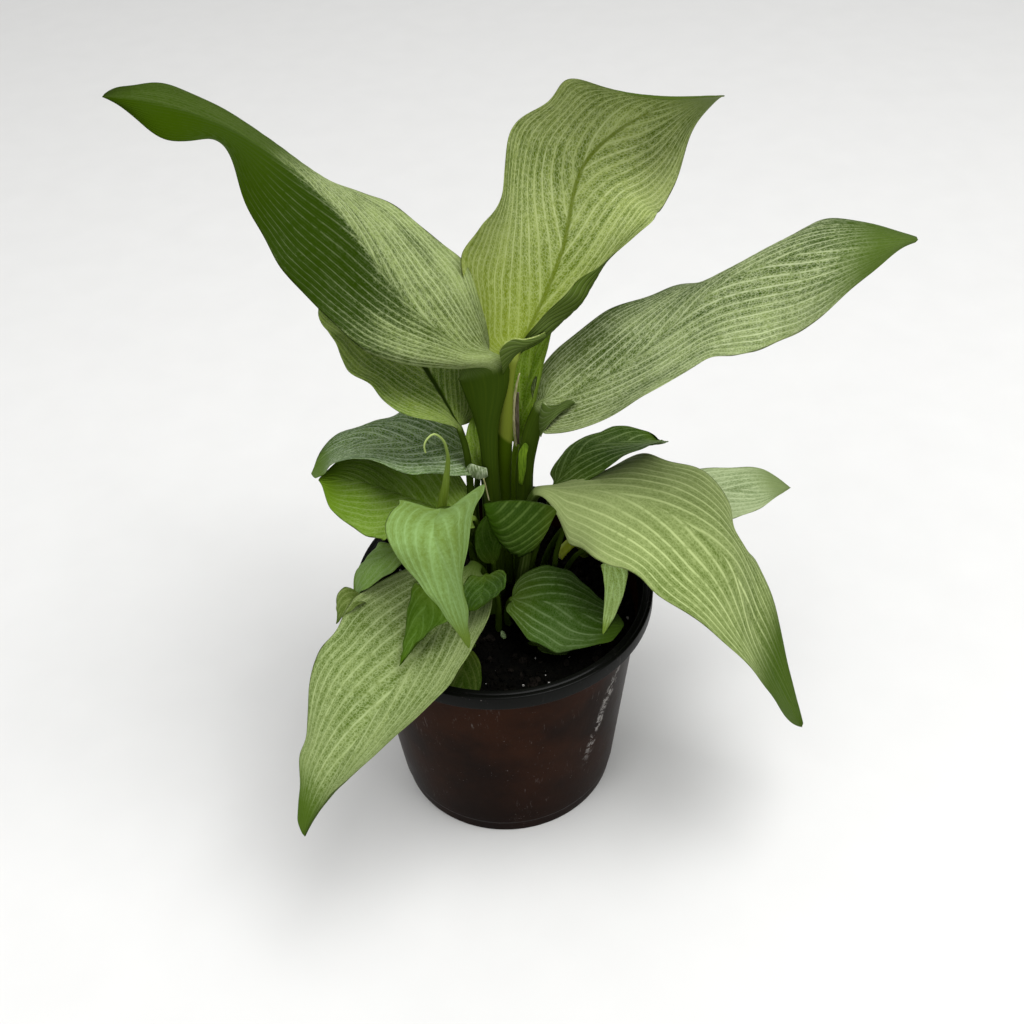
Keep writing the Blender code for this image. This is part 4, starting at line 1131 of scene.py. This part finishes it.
def make_pellet():
    """An ellipsoid of rings between two poles, a little uneven, turned about its middle."""
    half_axes, centre, turned_by = (0.9, 2.0, 0.9), (0.6, -14.0, 76.3), np.radians(15)
    rows, columns = 16, 28
    polar = np.linspace(0, np.pi, rows + 2)[1:-1, None]
    turn = np.linspace(0, 2 * np.pi, columns, endpoint=False)
    local = np.stack([np.sin(polar) * np.cos(turn), np.cos(polar) + 0 * turn,
                      np.sin(polar) * np.sin(turn)], axis=-1).reshape(-1, 3)
    local = np.concatenate([local, [(0, 1, 0), (0, -1, 0)]])
    uneven = 1 + 0.02 * np.sin(5 * local[:, 0] + 3 * local[:, 1]) * np.cos(4 * local[:, 2] + 1)
    local = local * uneven[:, None] * half_axes
    c, s = np.cos(turned_by), np.sin(turned_by)
    points = np.column_stack([c * local[:, 0] - s * local[:, 1], s * local[:, 0] + c * local[:, 1],
                              local[:, 2]]) + centre
    pole = rows * columns
    faces = grid_faces(rows, columns) + fan_faces(0, columns, pole, flipped=True)
    faces += fan_faces(pole - columns, columns, pole + 1)
    m = Material("feed_grain")
    place = m.place()
    mottle = m.noise(place, 1500.0, 3.0)
    colour = m.mix(mottle.ramp(0.35, 0.7), shade(112, 138, 84), shade(160, 184, 132))
    wax = m.finish(Base_Color=colour, Roughness=0.38 + mottle * 0.2,
                   Normal=m.bump(mottle, 0.0001, 0.6), Specular_IOR_Level=0.5)
    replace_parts(make_piece("feed_grain", points, faces, wax, "feed_grain"), "feed_pellet")


make_pellet()


# -------------------------------------------------------------------- studio
# Plain pale floor under a large soft light above, a little in front and to the right, with weak
# fill from the front left and from all round, and the camera looking down from in front.

def make_floor():
    """A wide flat floor with a faint grain."""
    m = Material("floor")
    place = m.place()
    grain = m.noise(place, 40.0, 3.0)
    paper = m.mix(grain, (0.74, 0.74, 0.73), (0.78, 0.78, 0.77))
    m.finish(Base_Color=paper, Roughness=0.6 + grain * 0.1, Normal=m.bump(grain, 0.0002, 0.3),
             Specular_IOR_Level=0.3)
    mesh = bpy.data.meshes.new("floor")
    mesh.from_pydata([(-3, -3, 0), (3, -3, 0), (3, 3, 0), (-3, 3, 0)], [], [(0, 1, 2, 3)])
    mesh.materials.append(m.material)
    floor = bpy.data.objects.new("floor", mesh)
    bpy.context.scene.collection.objects.link(floor)


def soft_light(name, place, aim, size, power, colour=(1.0, 1.0, 1.0)):
    """A square area light at a place, turned to face a point; sizes in metres, power in watts."""
    lamp = bpy.data.lights.new(name, "AREA")
    lamp.shape, lamp.size, lamp.energy, lamp.color = "SQUARE", size, power, colour
    light = bpy.data.objects.new(name, lamp)
    light.location = place
    light.rotation_euler = (Vector(aim) - Vector(place)).to_track_quat("-Z", "Y").to_euler()
    bpy.context.scene.collection.objects.link(light)


make_floor()
soft_light("key", (0.38, -0.20, 1.25), (0, 0, 0.1), 0.8, 13.0)
soft_light("fill", (-0.9, -0.6, 0.9), (0, 0, 0.1), 1.2, 5.0)

world = bpy.data.worlds.new("studio")
world.use_nodes = True
world.node_tree.nodes["Background"].inputs[0].default_value = (1.0, 1.0, 1.0, 1.0)
world.node_tree.nodes["Background"].inputs[1].default_value = 0.60
bpy.context.scene.world = world
bpy.context.scene.view_settings.view_transform = "Standard"

lens = bpy.data.cameras.new("camera")
lens.lens, lens.sensor_width = 43.95, 36.0
lens.clip_start, lens.clip_end = 0.01, 10.0
camera = bpy.data.objects.new("camera", lens)
pan, looking_down, roll = -1.12, 40.84, -2.96
camera.matrix_world = (
    Matrix.Translation((0, -0.3075, 0.3847)) @ Matrix.Rotation(np.radians(pan), 4, "Z")
    @ Matrix.Rotation(np.radians(90 - looking_down), 4, "X")
    @ Matrix.Rotation(np.radians(roll), 4, "Z"))
bpy.context.scene.collection.objects.link(camera)
bpy.context.scene.camera = camera
